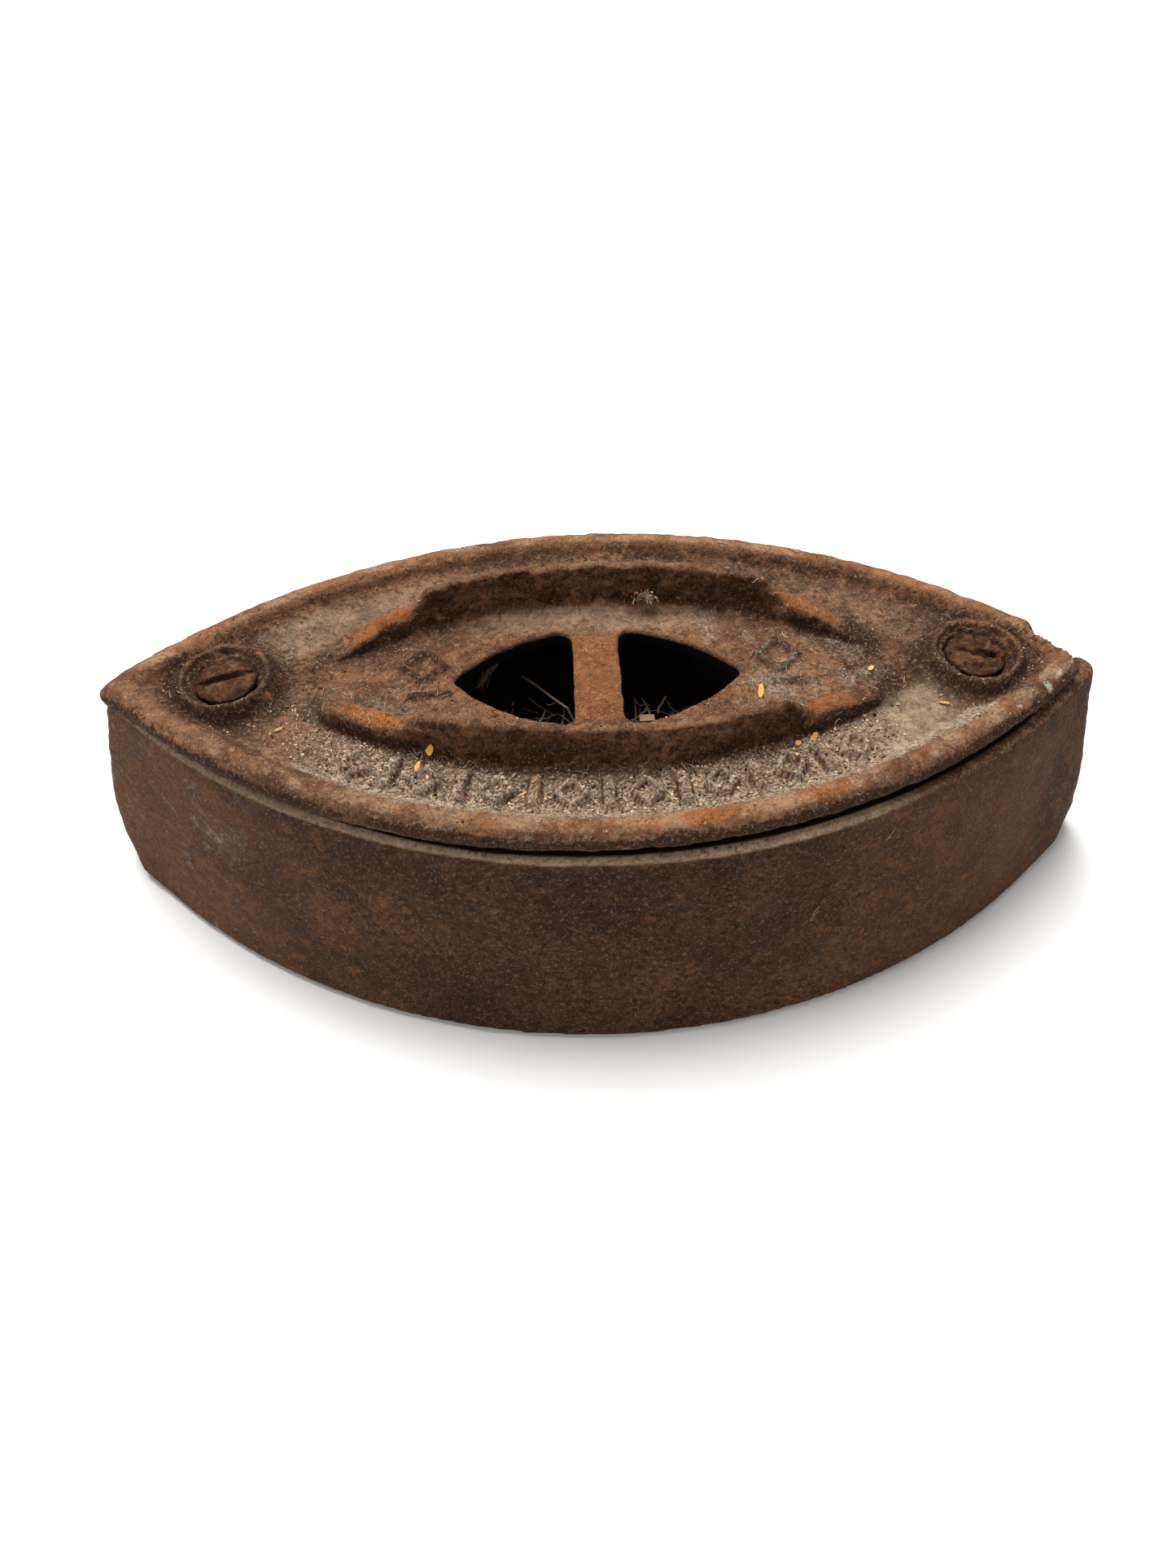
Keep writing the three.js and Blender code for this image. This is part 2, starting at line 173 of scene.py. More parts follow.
# %% [markdown]
# ## Tools for a casting
# A sand casting has no sharp corner: the sand rounds them, and rust rounds them further. Bevels
# would do this on simple solids, but here arcs, ridges and windows meet, where bevels break. So
# each solid is copied and remeshed into small even squares, and then relaxed: every point moves a
# little towards the middle of its neighbours. A mask says how much each place is relaxed. The work
# is done on arrays of points with numpy, which is quick on 100,000 points.

# %% Copy, remesh and relax
JOIN_WITHIN = 0.001 * MM  # points closer than this are one point


def node_copy(node, name):
    """A free copy of a CAD node's mesh, with its doubled corner points joined."""
    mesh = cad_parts[node].data.copy()
    mesh.materials.clear()
    shape = bmesh.new()
    shape.from_mesh(mesh)
    bmesh.ops.remove_doubles(shape, verts=shape.verts, dist=JOIN_WITHIN)
    shape.to_mesh(mesh)
    shape.free()
    piece = bpy.data.objects.new(name, mesh)
    bpy.context.scene.collection.objects.link(piece)
    return piece


def apply_modifiers(piece):
    graph = bpy.context.evaluated_depsgraph_get()
    mesh = bpy.data.meshes.new_from_object(piece.evaluated_get(graph))
    piece.modifiers.clear()
    piece.data = mesh
    return piece


def remesh(piece, square):
    modifier = piece.modifiers.new("remesh", "REMESH")
    modifier.mode = "VOXEL"
    modifier.voxel_size = square * MM
    return apply_modifiers(piece)


def points_of(mesh):
    """The mesh's points in millimetres, one row each."""
    flat = np.empty(len(mesh.vertices) * 3, np.float32)
    mesh.vertices.foreach_get("co", flat)
    return flat.reshape(-1, 3).astype(float) / MM


def normals_of(mesh):
    flat = np.empty(len(mesh.vertices) * 3, np.float32)
    mesh.vertex_normals.foreach_get("vector", flat)
    return flat.reshape(-1, 3).astype(float)


def set_points(mesh, points):
    mesh.vertices.foreach_set("co", (points * MM).astype(np.float32).ravel())
    mesh.update()


def relax(mesh, rounds, share=0.5):
    """Moves points part of the way to their neighbours' middle. share is one number, or one per point."""
    points = points_of(mesh)
    edges = np.empty(len(mesh.edges) * 2, np.int32)
    mesh.edges.foreach_get("vertices", edges)
    a, b = edges.reshape(-1, 2).T
    count = len(points)
    neighbours = np.bincount(np.concatenate([a, b]), minlength=count)
    weight = np.broadcast_to(np.asarray(share, float), (count,))[:, None]
    for _ in range(rounds):
        total = np.empty_like(points)
        for axis in range(3):
            total[:, axis] = np.bincount(a, points[b, axis], count)
            total[:, axis] += np.bincount(b, points[a, axis], count)
        points += weight * (total / neighbours[:, None] - points)
    set_points(mesh, points)


# %% [markdown]
# Wear needs numbers that vary from place to place without a pattern. A lattice of random numbers,
# smoothly blended between its corners, gives lumps of one size. Several sizes on top of each other
# look like cast and rusted iron. The seed makes them the same on every run.

# %% Lumps and soft steps
LATTICE = 32  # corners along each side, after which the lumps repeat
LAYER_FADE = 0.55  # height of each finer layer, as a share of the last


def lumps(points, size, seed):
    """A smooth random field from -1 to 1. size is the width of one lump in millimetres."""
    lattice = np.random.default_rng(seed).uniform(-1, 1, (LATTICE, LATTICE, LATTICE))
    cell = points / size + 0.37 * seed
    base = np.floor(cell).astype(int)
    t = cell - base
    t = t * t * (3 - 2 * t)
    field = np.zeros(len(points))
    for corner in itertools.product((0, 1), repeat=3):
        weight = np.prod(np.where(corner, t, 1 - t), axis=1)
        i, j, k = ((base + corner) % LATTICE).T
        field += weight * lattice[i, j, k]
    return field


def layered(points, size, seed, layers=3):
    """Lumps of several sizes, each half as wide and a little over half as high as the last."""
    field = np.zeros(len(points))
    for layer in range(layers):
        field += LAYER_FADE ** layer * lumps(points, size / 2 ** layer, seed + 7 * layer)
    return field


def smooth_step(value, start, end):
    """0 before start, 1 after end, and a smooth rise between. start may be the larger one."""
    t = np.clip((value - start) / (end - start), 0, 1)
    return t * t * (3 - 2 * t)


def blob(x, y, centre, width):
    """1 at centre and fading to 0 some widths away."""
    return np.exp(-((x - centre[0]) ** 2 + (y - centre[1]) ** 2) / (2 * width ** 2))


# %% [markdown]
# Three small helpers do the rest: one pushes points out along their normals, which is how relief is
# made. One stores a mask on the points. The last hands a finished piece to its body in place of the
# plain solid.

# %% Push, paint and put in place
def push(mesh, distance):
    """Moves each point along its normal by its distance in millimetres."""
    set_points(mesh, points_of(mesh) + normals_of(mesh) * np.asarray(distance)[:, None])


def paint(mesh, name, amount):
    """Stores a mask from 0 to 1 on the points, which a material reads with an Attribute node."""
    layer = mesh.attributes.new(name, "FLOAT", "POINT")
    layer.data.foreach_set("value", np.clip(amount, 0, 1).astype(np.float32))


def dress(piece, node, body, material):
    """Smooth shading and a material, then piece takes the CAD node's place on its body."""
    piece.data.shade_smooth()
    piece.data.materials.clear()
    piece.data.materials.append(material)
    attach(piece, body)
    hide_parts(node)
    print(piece.name, "has", len(piece.data.polygons), "faces")


# %% [markdown]
# ## Where things are on the cap
# Wear and dust follow the shape: dust lies along the bead, and grime with painted shade sits at the
# foot of the ridges.
# To say so in code, each point needs its distance from the cap's edge and from the ridges. The
# cap's plan is a pointed oval, the part that two discs share, so its edge distance is a disc radius
# less the distance to the farther disc centre. The sizes come from the frame's box where they can.

# %% Distances on the cap
cap_low, cap_high = (np.array(corner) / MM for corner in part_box("cap_plate"))
CAP_TURN = math.radians(0.67)  # the cap was screwed down a little off square
CAP_SHIFT = -0.4
POINT_BLUNTING = 0.5
PANEL = cap_high[2] - 7.6  # height of the flat panel
CAP_SEAT = cap_low[2] + 1.5  # underside of the bead
CAP_LENGTH = cap_high[0] - cap_low[0] + 2 * POINT_BLUNTING
CAP_WIDTH = cap_high[1] - cap_low[1]
CAP_RADIUS = (CAP_LENGTH ** 2 + CAP_WIDTH ** 2) / (4 * CAP_WIDTH)
CAP_OFFSET = CAP_RADIUS - CAP_WIDTH / 2
BEAD_WIDTH = 5.0
RIDGE_RADIUS = 80.0
RIDGE_CREST_Y = 17.2
RIDGE_HALF = 26.0  # of the tall part
RAMP_END = 30.0
TAIL_END = 42.0
SCREW_X = (-55.8, 56.8)
BOSS_RADIUS = 7.0


def on_cap(points):
    """x, y and z in the cap's own frame, square to its long axis."""
    c, s = math.cos(-CAP_TURN), math.sin(-CAP_TURN)
    x, y = points[:, 0] - CAP_SHIFT, points[:, 1]
    return c * x - s * y, s * x + c * y, points[:, 2]


def edge_distance(x, y):
    """How far inside the cap's edge a point lies."""
    return CAP_RADIUS - np.hypot(x, np.abs(y) + CAP_OFFSET)


def ridge_distance(x, y, side):
    """Signed distance from a ridge's middle line, positive on its outer side. side is 1 at the back."""
    return np.hypot(x, y - side * (RIDGE_CREST_Y - RIDGE_RADIUS)) - RIDGE_RADIUS


print("cap oval: radius", round(CAP_RADIUS, 1), "offset", round(CAP_OFFSET, 1), "panel", round(PANEL, 1))

# %% [markdown]
# ## Ornament
# The front of such a cap carries raised marks, nearly buried in dust. Here they are a plain row of
# lozenges and bars, and a lozenge with a dash beside each window. They could be modelled as solids,
# but a height share from 0 to 1 for every place on the panel does more: the same function lifts the
# points, lets dust gather between the marks, and keeps grit off their tops.

# %% Ornament
ORNAMENT_PITCH = 5.2
ORNAMENT_COUNT = 15
ORNAMENT_INSET = 8.8  # of the row's middle line, from the cap's edge
ROW_START = -8  # y in front of which the row may stand
LOZENGE_REACH = 2.175  # from a lozenge's middle to the middle of its line, at a corner
LOZENGE_LINE = (1.0, 0.35)  # from the middle of the line to its foot and to its top
BAR_HALF = (0.9, 2.7)
BAR_EDGE = 0.4
SIDE_LOZENGES = ((-26.7, 2.7), (27.3, 3.0))
SIDE_REACH = 3.2
SIDE_LINE = (1.2, 0.5)
SIDE_SHARE = 0.45  # of the row's height
DASHES = ((-25.6, -3.0, 3.2), (27.6, -2.5, 3.8))  # x and y of the middle, and half the length
DASH_HALF_WIDTH = 0.7
DASH_END = 0.5


def soft_bar(offset, half, edge):
    """1 within half of a middle line and 0 outside it, with a soft edge."""
    return smooth_step(offset, half + edge, half - edge)


def ornament(x, y):
    """Height share of the front row of lozenges and bars, and of the pair beside the windows."""
    row = CAP_RADIUS - ORNAMENT_INSET
    along = np.arctan2(x, CAP_OFFSET - y) * row
    across = np.abs(np.hypot(x, y - CAP_OFFSET) - row)
    index = np.round(along / ORNAMENT_PITCH)
    along = np.abs(along - index * ORNAMENT_PITCH)
    lozenge = smooth_step(np.abs(along + across - LOZENGE_REACH), *LOZENGE_LINE)
    bar = soft_bar(along, BAR_HALF[0], BAR_EDGE) * soft_bar(across, BAR_HALF[1], BAR_EDGE)
    even = (index + ORNAMENT_COUNT // 2) % 2 == 0
    in_row = (np.abs(index) <= ORNAMENT_COUNT // 2) * (y < ROW_START)
    shown = np.where(even, lozenge, bar) * in_row
    for middle_x, middle_y in SIDE_LOZENGES:
        reach = np.abs(x - middle_x) + np.abs(y - middle_y)
        shown = np.maximum(shown, SIDE_SHARE * smooth_step(np.abs(reach - SIDE_REACH), *SIDE_LINE))
    for dash_x, dash_y, half in DASHES:
        dash = soft_bar(np.abs(y - dash_y), DASH_HALF_WIDTH, BAR_EDGE)
        dash = dash * soft_bar(np.abs(x - dash_x), half, DASH_END)
        shown = np.maximum(shown, SIDE_SHARE * dash)
    return shown


def ornament_outline(relief, foot=0.34, top=0.1):
    """1 along the edge of the ornament, halfway up its side."""
    return smooth_step(np.abs(relief - 0.35), foot, top)


print("ornament row: a mark every", ORNAMENT_PITCH, "mm,", ORNAMENT_COUNT, "marks")

# %% [markdown]
# ## The cap plate's shape
# The cap is the piece that shows most. Its plan, bead, ridges, bosses and windows come with the
# solid. What the solid lacks is softness: wide fillets at the foot of the bead and the ridges, ramps
# that melt into their tails, and bosses like low rings of dough. Relaxing has one side effect: it
# pulls the two sharp points of the oval inwards, so they are stretched back out afterwards.

# %% Soften the cap
CAP_SQUARE = 0.44
CREST_HALF = 1.2  # a ridge's half width, from which distances to it are counted
FILLET_HEIGHT = 2.4  # how far up a ridge's foot the fillet fades
CAP_STRETCH = (66, 74, (0.7, 0.3))  # from x, to x, and how far each point moves out


def ridge_near(x, y, reach):
    """1 on a ridge or its tails, fading to 0 this many millimetres away."""
    near = np.zeros(len(x))
    for side in (-1, 1):
        distance = np.abs(ridge_distance(x, y, side))
        ends = smooth_step(np.abs(x), TAIL_END + reach, TAIL_END)
        beside = smooth_step(distance, CREST_HALF + reach, CREST_HALF)
        near = np.maximum(near, beside * ends * (y * side > 0))
    return near


def fillet_share(x, y, inset, height):
    """How much each place is relaxed: most at the feet of the ridges, the bead and the bosses."""
    low_down = np.exp(-((np.maximum(height, 0) / FILLET_HEIGHT) ** 2))
    ramp = ridge_near(x, y, 3.0) * smooth_step(np.abs(x), RIDGE_HALF - 3, RIDGE_HALF)
    share = np.maximum(ridge_near(x, y, 4.0) * low_down, 0.6 * ramp)
    bead_foot = np.exp(-(((inset - BEAD_WIDTH - 0.4) / 2.0) ** 2)) * (height < 1.7)
    bead_edge = smooth_step(inset, 2.6, 1.2) * smooth_step(height, 0.2, 1.2)
    share = np.maximum(share, np.maximum(bead_foot, 0.4 * bead_edge))
    for screw_x in SCREW_X:
        r = np.hypot(x - screw_x, y)
        share = np.maximum(share, 0.8 * smooth_step(r, 11, 9) * smooth_step(r, 5.0, 5.5))
    return share * smooth_step(height, -1.5, -0.6)


def soften_cap(mesh):
    x, y, z = on_cap(points_of(mesh))
    share = fillet_share(x, y, edge_distance(x, y), z - PANEL)
    relax(mesh, 4, 0.5)
    relax(mesh, 40, 0.6 * share)


def stretch_points(mesh, start, end, amounts):
    """Moves the left and right points of an oval outwards again, by these millimetres at the end."""
    points = points_of(mesh)
    for sign, amount in zip((-1, 1), amounts):
        points[:, 0] += sign * amount * smooth_step(sign * points[:, 0], start, end)
    set_points(mesh, points)


cap = remesh(node_copy("cap_plate", "rusted_cap_plate"), CAP_SQUARE)
soften_cap(cap.data)
stretch_points(cap.data, *CAP_STRETCH)
print("cap points:", len(cap.data.vertices))

# %% [markdown]
# ## Wear on the cap
# Each kind of wear is a short function that moves the points that lie there, and all are put on in
# order at the end. They ask where a point lay on the unworn cap, so that is worked out once. The
# first: iron breaks rather than bends, and the bead has snapped off near the right point at the
# back, leaving a rough floor. The left point has sunk a little.

# %% The broken bead and the sunken point
CHIP_START = (65.7, 5.6)  # the break runs from here to CHIP_END, straight across the point
CHIP_END = (70.8, -0.6)
CHIP_STEP = (67.2, 6.6)  # and the bead is snapped off here
CHIP_STEP_ACROSS = (0.77, -0.64)  # direction in which the snapped end falls away
CHIP_FLOOR = 0.9  # iron left above the seat
CHIP_ROUGHNESS = 0.35
POINT_GONE = (72.0, 73.2)  # the bead is gone from the right point between these x
POINT_LOST = 71.6  # and the plate itself is shorter from here
POINT_LOST_SHARE = 0.75
LEFT_SAG = 0.8


def cap_places(points):
    """x, y, inset from the edge and height above the panel, for good, and z, which follows the points."""
    x, y, z = on_cap(points)
    return SimpleNamespace(x=x, y=y, z=z, inset=edge_distance(x, y), height=z - PANEL)


def chip_share(points):
    """1 where the bead has broken away, and a rough border."""
    x, y, _ = on_cap(points)
    rough = 0.5 * layered(points, 2.4, 3)
    along = np.subtract(CHIP_END, CHIP_START)
    along /= np.hypot(*along)
    past_line = (y - CHIP_START[1]) * along[0] - (x - CHIP_START[0]) * along[1]
    past_step = (x - CHIP_STEP[0]) * CHIP_STEP_ACROSS[0] + (y - CHIP_STEP[1]) * CHIP_STEP_ACROSS[1]
    return smooth_step(past_line + rough, -0.6, 0.5) * smooth_step(past_step + 0.4 * rough, -0.8, 2.6)


def break_bead(points, at):
    """Takes the bead down to a rough floor where it has broken away. Returns where that is."""
    point_gone = smooth_step(at.x + 0.3 * lumps(points, 2, 15), *POINT_GONE)
    broken = np.maximum(chip_share(points), point_gone)
    floor = CAP_SEAT + CHIP_FLOOR + CHIP_ROUGHNESS * layered(points, 1.6, 5)
    floor -= CHIP_ROUGHNESS * smooth_step(at.inset, 2.0, 0.0)
    points[:, 2] -= broken * np.maximum(at.z - floor, 0)
    points[:, 0] -= POINT_LOST_SHARE * (points[:, 0] - POINT_LOST).clip(0)
    return broken


def sag_left_point(points, at):
    points[:, 2] -= LEFT_SAG * smooth_step(at.x, -69, -75) * (at.z > CAP_SEAT + 0.6)


# %% [markdown]
# Rust swells where two castings touch and pries them apart, so the seam under the bead has opened
# along the front. The ridges' crests are where the handle rubbed, and are no longer straight.

# %% The opened seam and the worn crests
SEAM_OPENING = 0.5
CREST_LOSS = (-0.15, 0.8)  # least and most that a crest has lost


def open_seam(points, at):
    """Lifts the bead's underside along the front, most towards the right."""
    front = smooth_step(at.y, -1, -8) * smooth_step(np.abs(at.x), 72, 62)
    under = smooth_step(at.z, CAP_SEAT + 1.7, CAP_SEAT + 0.1) * smooth_step(at.inset, 3.0, 0.6)
    under = under * (at.z > CAP_SEAT - 0.4)
    opening = SEAM_OPENING * smooth_step(at.x, -30, 30) * smooth_step(at.x, 68, 58)
    points[:, 2] += opening * front * under * (0.85 + 0.3 * lumps(points, 9, 11))


def wear_crests(points, at):
    """The ridges' crests are no longer straight."""
    tall = smooth_step(at.height, 2.0, 7.0)
    lost = 0.15 + 0.45 * layered(points, 9, 21, 2) + 0.12 * lumps(points, 2.2, 23)
    points[:, 2] -= tall * lost.clip(*CREST_LOSS)


# %% [markdown]
# The bosses are soft rings, and the moat between ring and screw head is full of packed dirt. Both
# are heights that the points are raised to where they lie lower.

# %% Dirt round the screws
BOSS_CREST = 6.3  # radius of the ring's top
BOSS_RISE = 3.0
BOSS_SLOPES = (0.95, 1.4)  # how gently the ring falls inwards and outwards
BOSS_REACH = 10.0
HEAD_HOLE = 4.9
MOAT_REACH = 5.9
MOAT_DIRT = 1.6  # height of packed dirt above the panel


def pack_moats(points, at):
    """Raises a doughy ring round each screw head, and fills the moat inside it with dirt."""
    for screw_x in SCREW_X:
        r = np.hypot(at.x - screw_x, at.y)
        fall = np.where(r < BOSS_CREST, *BOSS_SLOPES)
        uneven = 1 + 0.06 * lumps(points, 4, 17)
        ring = PANEL + BOSS_RISE * np.exp(-(((r - BOSS_CREST) / fall) ** 2)) * uneven
        beside_head = (r > HEAD_HOLE) * (at.z > PANEL - 0.2)
        raised = np.maximum(points[:, 2], ring)
        points[:, 2] = np.where(beside_head * (r < BOSS_REACH), raised, points[:, 2])
        dirt = PANEL + MOAT_DIRT + 0.25 * layered(points, 2.0, 13)
        filled = np.maximum(points[:, 2], dirt)
        points[:, 2] = np.where(beside_head * (r < MOAT_REACH), filled, points[:, 2])


# %% [markdown]
# Scale is rust that has grown thick. It has swollen the bead and the low tails of the ridges, and
# three of the four tails run out to almost nothing.

# %% Ornament, scale and tails
ORNAMENT_RISE = 1.35
PANEL_WAVES = 0.2
BEAD_SWELL = 0.45  # thickness of the scale on the bead
TAIL_SWELL = 0.55
TAIL_RISE = 0.9
TAIL_LOST = 0.85  # share by which the back ridge's tails run out to nothing
RIGHT_TAIL_SHARE = 0.6  # of that, on the front ridge's right tail


def raise_ornament(points, at):
    """The panel isn't flat, and the ornament stands on it."""
    panel = smooth_step(at.height, 1.9, 1.2) * (at.height > -0.5) * (at.inset > BEAD_WIDTH - 1)
    waves = PANEL_WAVES * layered(points, 14, 31)
    points[:, 2] += panel * (waves + ORNAMENT_RISE * ornament(at.x, at.y))


def on_tails(at, reach):
    return ridge_near(at.x, at.y, reach) * smooth_step(np.abs(at.x), RAMP_END - 3, RAMP_END + 1)


def swell_bead_and_tails(mesh, at, broken):
    bead = smooth_step(at.inset, 5.0, 3.6) * smooth_step(at.height, -0.6, 0.8) * (1 - broken)
    tails = on_tails(at, 1.6) * smooth_step(at.height, 0.1, 0.9)
    push(mesh, BEAD_SWELL * bead + TAIL_SWELL * tails)


def shape_tails(points, at):
    """The tails rise a little, then taper, except at the front left."""
    tops = on_tails(at, 1.0) * smooth_step(at.height, 0.3, 1.5)
    points[:, 2] += TAIL_RISE * tops * smooth_step(np.abs(at.x), TAIL_END + 2, TAIL_END - 2)
    taper = ridge_near(at.x, at.y, 3.0) * smooth_step(np.abs(at.x), RAMP_END + 1, TAIL_END + 1)
    taper *= np.where(at.y > 0, 1, RIGHT_TAIL_SHARE * (at.x > 0))
    points[:, 2] -= TAIL_LOST * taper * (points[:, 2] - PANEL - 0.2).clip(0)


# %% [markdown]
# Rust relief comes last: lumps of several sizes pushed out along the normals, with flakes on the
# ridges' faces and a few wide pits. Then all the wear is put on in order.

# %% Wear the cap
RUST_RELIEF = 0.11
FLAKE_RELIEF = 0.17
PIT_DEPTH = 0.14


def roughen_cap(mesh, points, at):
    relief = RUST_RELIEF * layered(points, 2.4, 41, 3) + 0.06 * lumps(points, 0.9, 43)
    pits = smooth_step(lumps(points, 3.1, 47), 0.45, 0.9)
    faces = smooth_step(at.height, 0.8, 2.0) * (at.inset > BEAD_WIDTH)
    flakes = FLAKE_RELIEF * faces * lumps(points, 1.1, 45)
    upper = at.z > CAP_SEAT - 0.2
    push(mesh, upper * (relief * (1 + 1.2 * faces) + flakes - PIT_DEPTH * pits))


def wear_cap(mesh):
    points = points_of(mesh)
    at = cap_places(points)
    broken = break_bead(points, at)
    sag_left_point(points, at)
    open_seam(points, at)
    wear_crests(points, at)
    pack_moats(points, at)
    raise_ornament(points, at)
    set_points(mesh, points)
    swell_bead_and_tails(mesh, at, broken)
    points = points_of(mesh)
    shape_tails(points, at)
    set_points(mesh, points)
    roughen_cap(mesh, points, at)


wear_cap(cap.data)
low, high = points_of(cap.data).min(0), points_of(cap.data).max(0)
print("worn cap, mm:", low.round(2), high.round(2))

# %% [markdown]
# ## Painting where rust, grime, dust, shade and highlight lie
# Procedural noise alone looks the same everywhere. Real dirt has a place: pale dust fills the
# front of the panel, soot and painted shade darken faces that look down or sideways, and bare
# orange rust shows where a hand or the handle rubbed, with painted highlight on tops and crests.
# So masks are painted on the points by rules, one short function for each kind, and the material
# mixes its layers by them. What the rules share, such as which way a point faces, is gathered
# first.

# %% Places on the worn cap
WINDOWS_HALF = (24, 13)  # in x and y, of an oblong round both windows


def places_to_paint(mesh):
    points = points_of(mesh)
    at = cap_places(points)
    at.upward = normals_of(mesh)[:, 2].clip(0, 1)
    at.patchy = layered(points, 9, 51)
    at.fine = layered(points, 2.5, 61)
    at.front = ridge_distance(at.x, at.y, -1)
    at.back = ridge_distance(at.x, at.y, 1)
    at.relief = ornament(at.x, at.y)
    at.chip = chip_share(points)
    at.windows = (np.abs(at.x) < WINDOWS_HALF[0]) * (np.abs(at.y) < WINDOWS_HALF[1])
    flat = np.maximum(at.upward, 0.9 * (at.relief > 0.25))
    at.panel = smooth_step(at.height - ORNAMENT_RISE * at.relief, 2.1, 1.1)
    at.panel *= smooth_step(flat, 0.55, 0.9) * (at.height > -0.5)
    at.between = at.panel * (at.back < -1.5) * (at.front < -1.5) * (np.abs(at.x) < 46)
    at.off_bosses = np.ones(len(points))
    for screw_x in SCREW_X:
        r = np.hypot(at.x - screw_x, at.y)
        at.off_bosses *= 1 - 0.8 * smooth_step(r, BOSS_RADIUS + 4.5, BOSS_RADIUS + 1)
    return at


cap_at = places_to_paint(cap.data)
print("share of the cap's points on the panel:", round(float((cap_at.panel > 0.5).mean()), 2))

# %% [markdown]
# Dust stays where nothing brushes or blows it away. Coarse chaff lies in front of the near ridge,
# and a film so fine that it has no grain lies behind the far one.

# %% Dust and film
def cap_dust(at):
    """Chaff dust: deep in front of the near ridge and up the bead's slope, thin between the ridges."""
    in_front = smooth_step(at.front, 1.2, 4.0) * (at.y < 0)
    in_front = in_front * smooth_step(at.x, -50, -36) * smooth_step(at.x, 50, 34)
    dust = at.panel * in_front * (0.72 + 0.3 * at.fine) * (1 - 0.7 * ornament_outline(at.relief))
    bead_slope = smooth_step(at.inset, 2.4, 4.2) * smooth_step(at.inset, 7.0, 5.4)
    bead_slope = bead_slope * (at.y < -8) * smooth_step(at.x, -50, -30)
    dust += 0.8 * bead_slope * smooth_step(at.upward, 0.3, 0.6)
    dust += at.between * (0.14 + 0.3 * at.patchy + 0.35 * blob(at.x, at.y, (24, 0), 5))
    return dust * at.off_bosses


def cap_film(at):
    """A soft film of finer dust, where no wind reaches: behind, at the front right, by the windows."""
    behind = smooth_step(at.back, 0.5, 4.5) * (at.y > 0) * smooth_step(at.inset, 4.6, 7.0)
    behind *= smooth_step(at.x, -57, -46) * (0.25 + 0.75 * smooth_step(at.x, -8, -30))
    beside = smooth_step(at.x, 26, 44) * smooth_step(at.x, 57, 48)
    beside = beside * smooth_step(at.front, 0.5, 4.0) * (at.y < 0)
    film = 0.42 * behind * (1 + 0.3 * at.patchy) + 0.86 * beside * smooth_step(at.inset, 3.6, 6.0)
    film += 0.42 * at.between * smooth_step(at.y, 8, 12) * smooth_step(np.abs(at.x), 26, 12)
    film += 0.12 * at.panel * (at.y < 0) * smooth_step(at.x, -30, -48)
    return film * at.panel * at.off_bosses


# %% [markdown]
# Soot came from the stove and holds on to faces that no hand wipes; faces that look sideways or
# down, the ridges' feet and the bead's underside are painted darker as shade too. Grime is dirt
# bound with grease: it gathers round the screws, along the marks and at both points.

# %% Soot, grime and painted shade
SMUDGES = (((45, 2), 7, 0.35), ((-44, 2), 6, 0.3), ((38, -9), 4, 0.3))  # middle, width, strength


def shade_and_soot_on_faces(at):
    """Soot and painted shade on what looks sideways or down: the ridges, their feet, the bead's slopes.
    """
    sideways = smooth_step(at.upward, 0.75, 0.35)
    ridges = sideways * smooth_step(at.height, 0.3, 1.0) * (at.inset > BEAD_WIDTH)
    feet = ridge_near(at.x, at.y, 3.6) * smooth_step(at.height, 3.2, 0.4)
    slope = smooth_step(at.inset, 3.2, 1.6) * sideways * (at.height > -0.5)
    # Painted shade on the bead's outer face and under the bead
    outside = smooth_step(at.inset, 1.7, 0.5) * (at.z < PANEL + 1.5)
    underside = smooth_step(at.z, CAP_SEAT + 0.2, CAP_SEAT - 0.2)
    soot_and_shade = (0.46 + 0.25 * at.fine) * ridges + 0.4 * feet * (1 + at.patchy)
    soot_and_shade += (0.55 + 0.45 * at.fine) * slope + outside * (0.4 + 0.4 * at.patchy)
    soot_and_shade += (0.12 + 0.4 * at.fine.clip(0)) * (at.inset < BEAD_WIDTH)
    return soot_and_shade + 0.75 * underside * (0.8 + 0.4 * at.patchy)


def grime_on_panel(at):
    """Grime on the flat: round the ornament, in patches, near both points, behind the far ridge."""
    near_points = smooth_step(at.x, -40, -52) + smooth_step(at.x, 46, 56)
    behind = smooth_step(at.back, 1.0, 3.5) * (at.y > 0) * smooth_step(np.abs(at.x - 4), 34, 22)
    grime = 0.7 * ornament_outline(at.relief, 0.35, 0.15) + 0.42 * smooth_step(at.patchy, -0.1, 0.8)
    return at.panel * (grime + 0.3 * near_points * (0.5 + at.patchy) + 0.3 * behind)


def dark_band_round_screws(at):
    """A darker band round the foot of each boss, most towards the front, and the moat round the head."""
    dirt = np.zeros(len(at.x))
    toward_front = 0.65 + 0.35 * smooth_step(at.y, 4, -4)
    for screw_x in SCREW_X:
        r = np.hypot(at.x - screw_x, at.y)
        band = smooth_step(r, BOSS_RADIUS + 5, BOSS_RADIUS) * (r > BOSS_RADIUS - 0.8)
        dirt = np.maximum(dirt, band * toward_front)
        dirt = np.maximum(dirt, 0.75 * (r < 6.0))
    return dirt


def cap_soot_and_shade(at):
    soot_and_shade = shade_and_soot_on_faces(at) + grime_on_panel(at)
    soot_and_shade += 0.7 * dark_band_round_screws(at) * (1 + 0.6 * at.fine)
    soot_and_shade += (0.7 + 0.3 * at.fine) * at.chip
    for middle, width, strength in SMUDGES:
        soot_and_shade += strength * blob(at.x, at.y, middle, width)
    return soot_and_shade
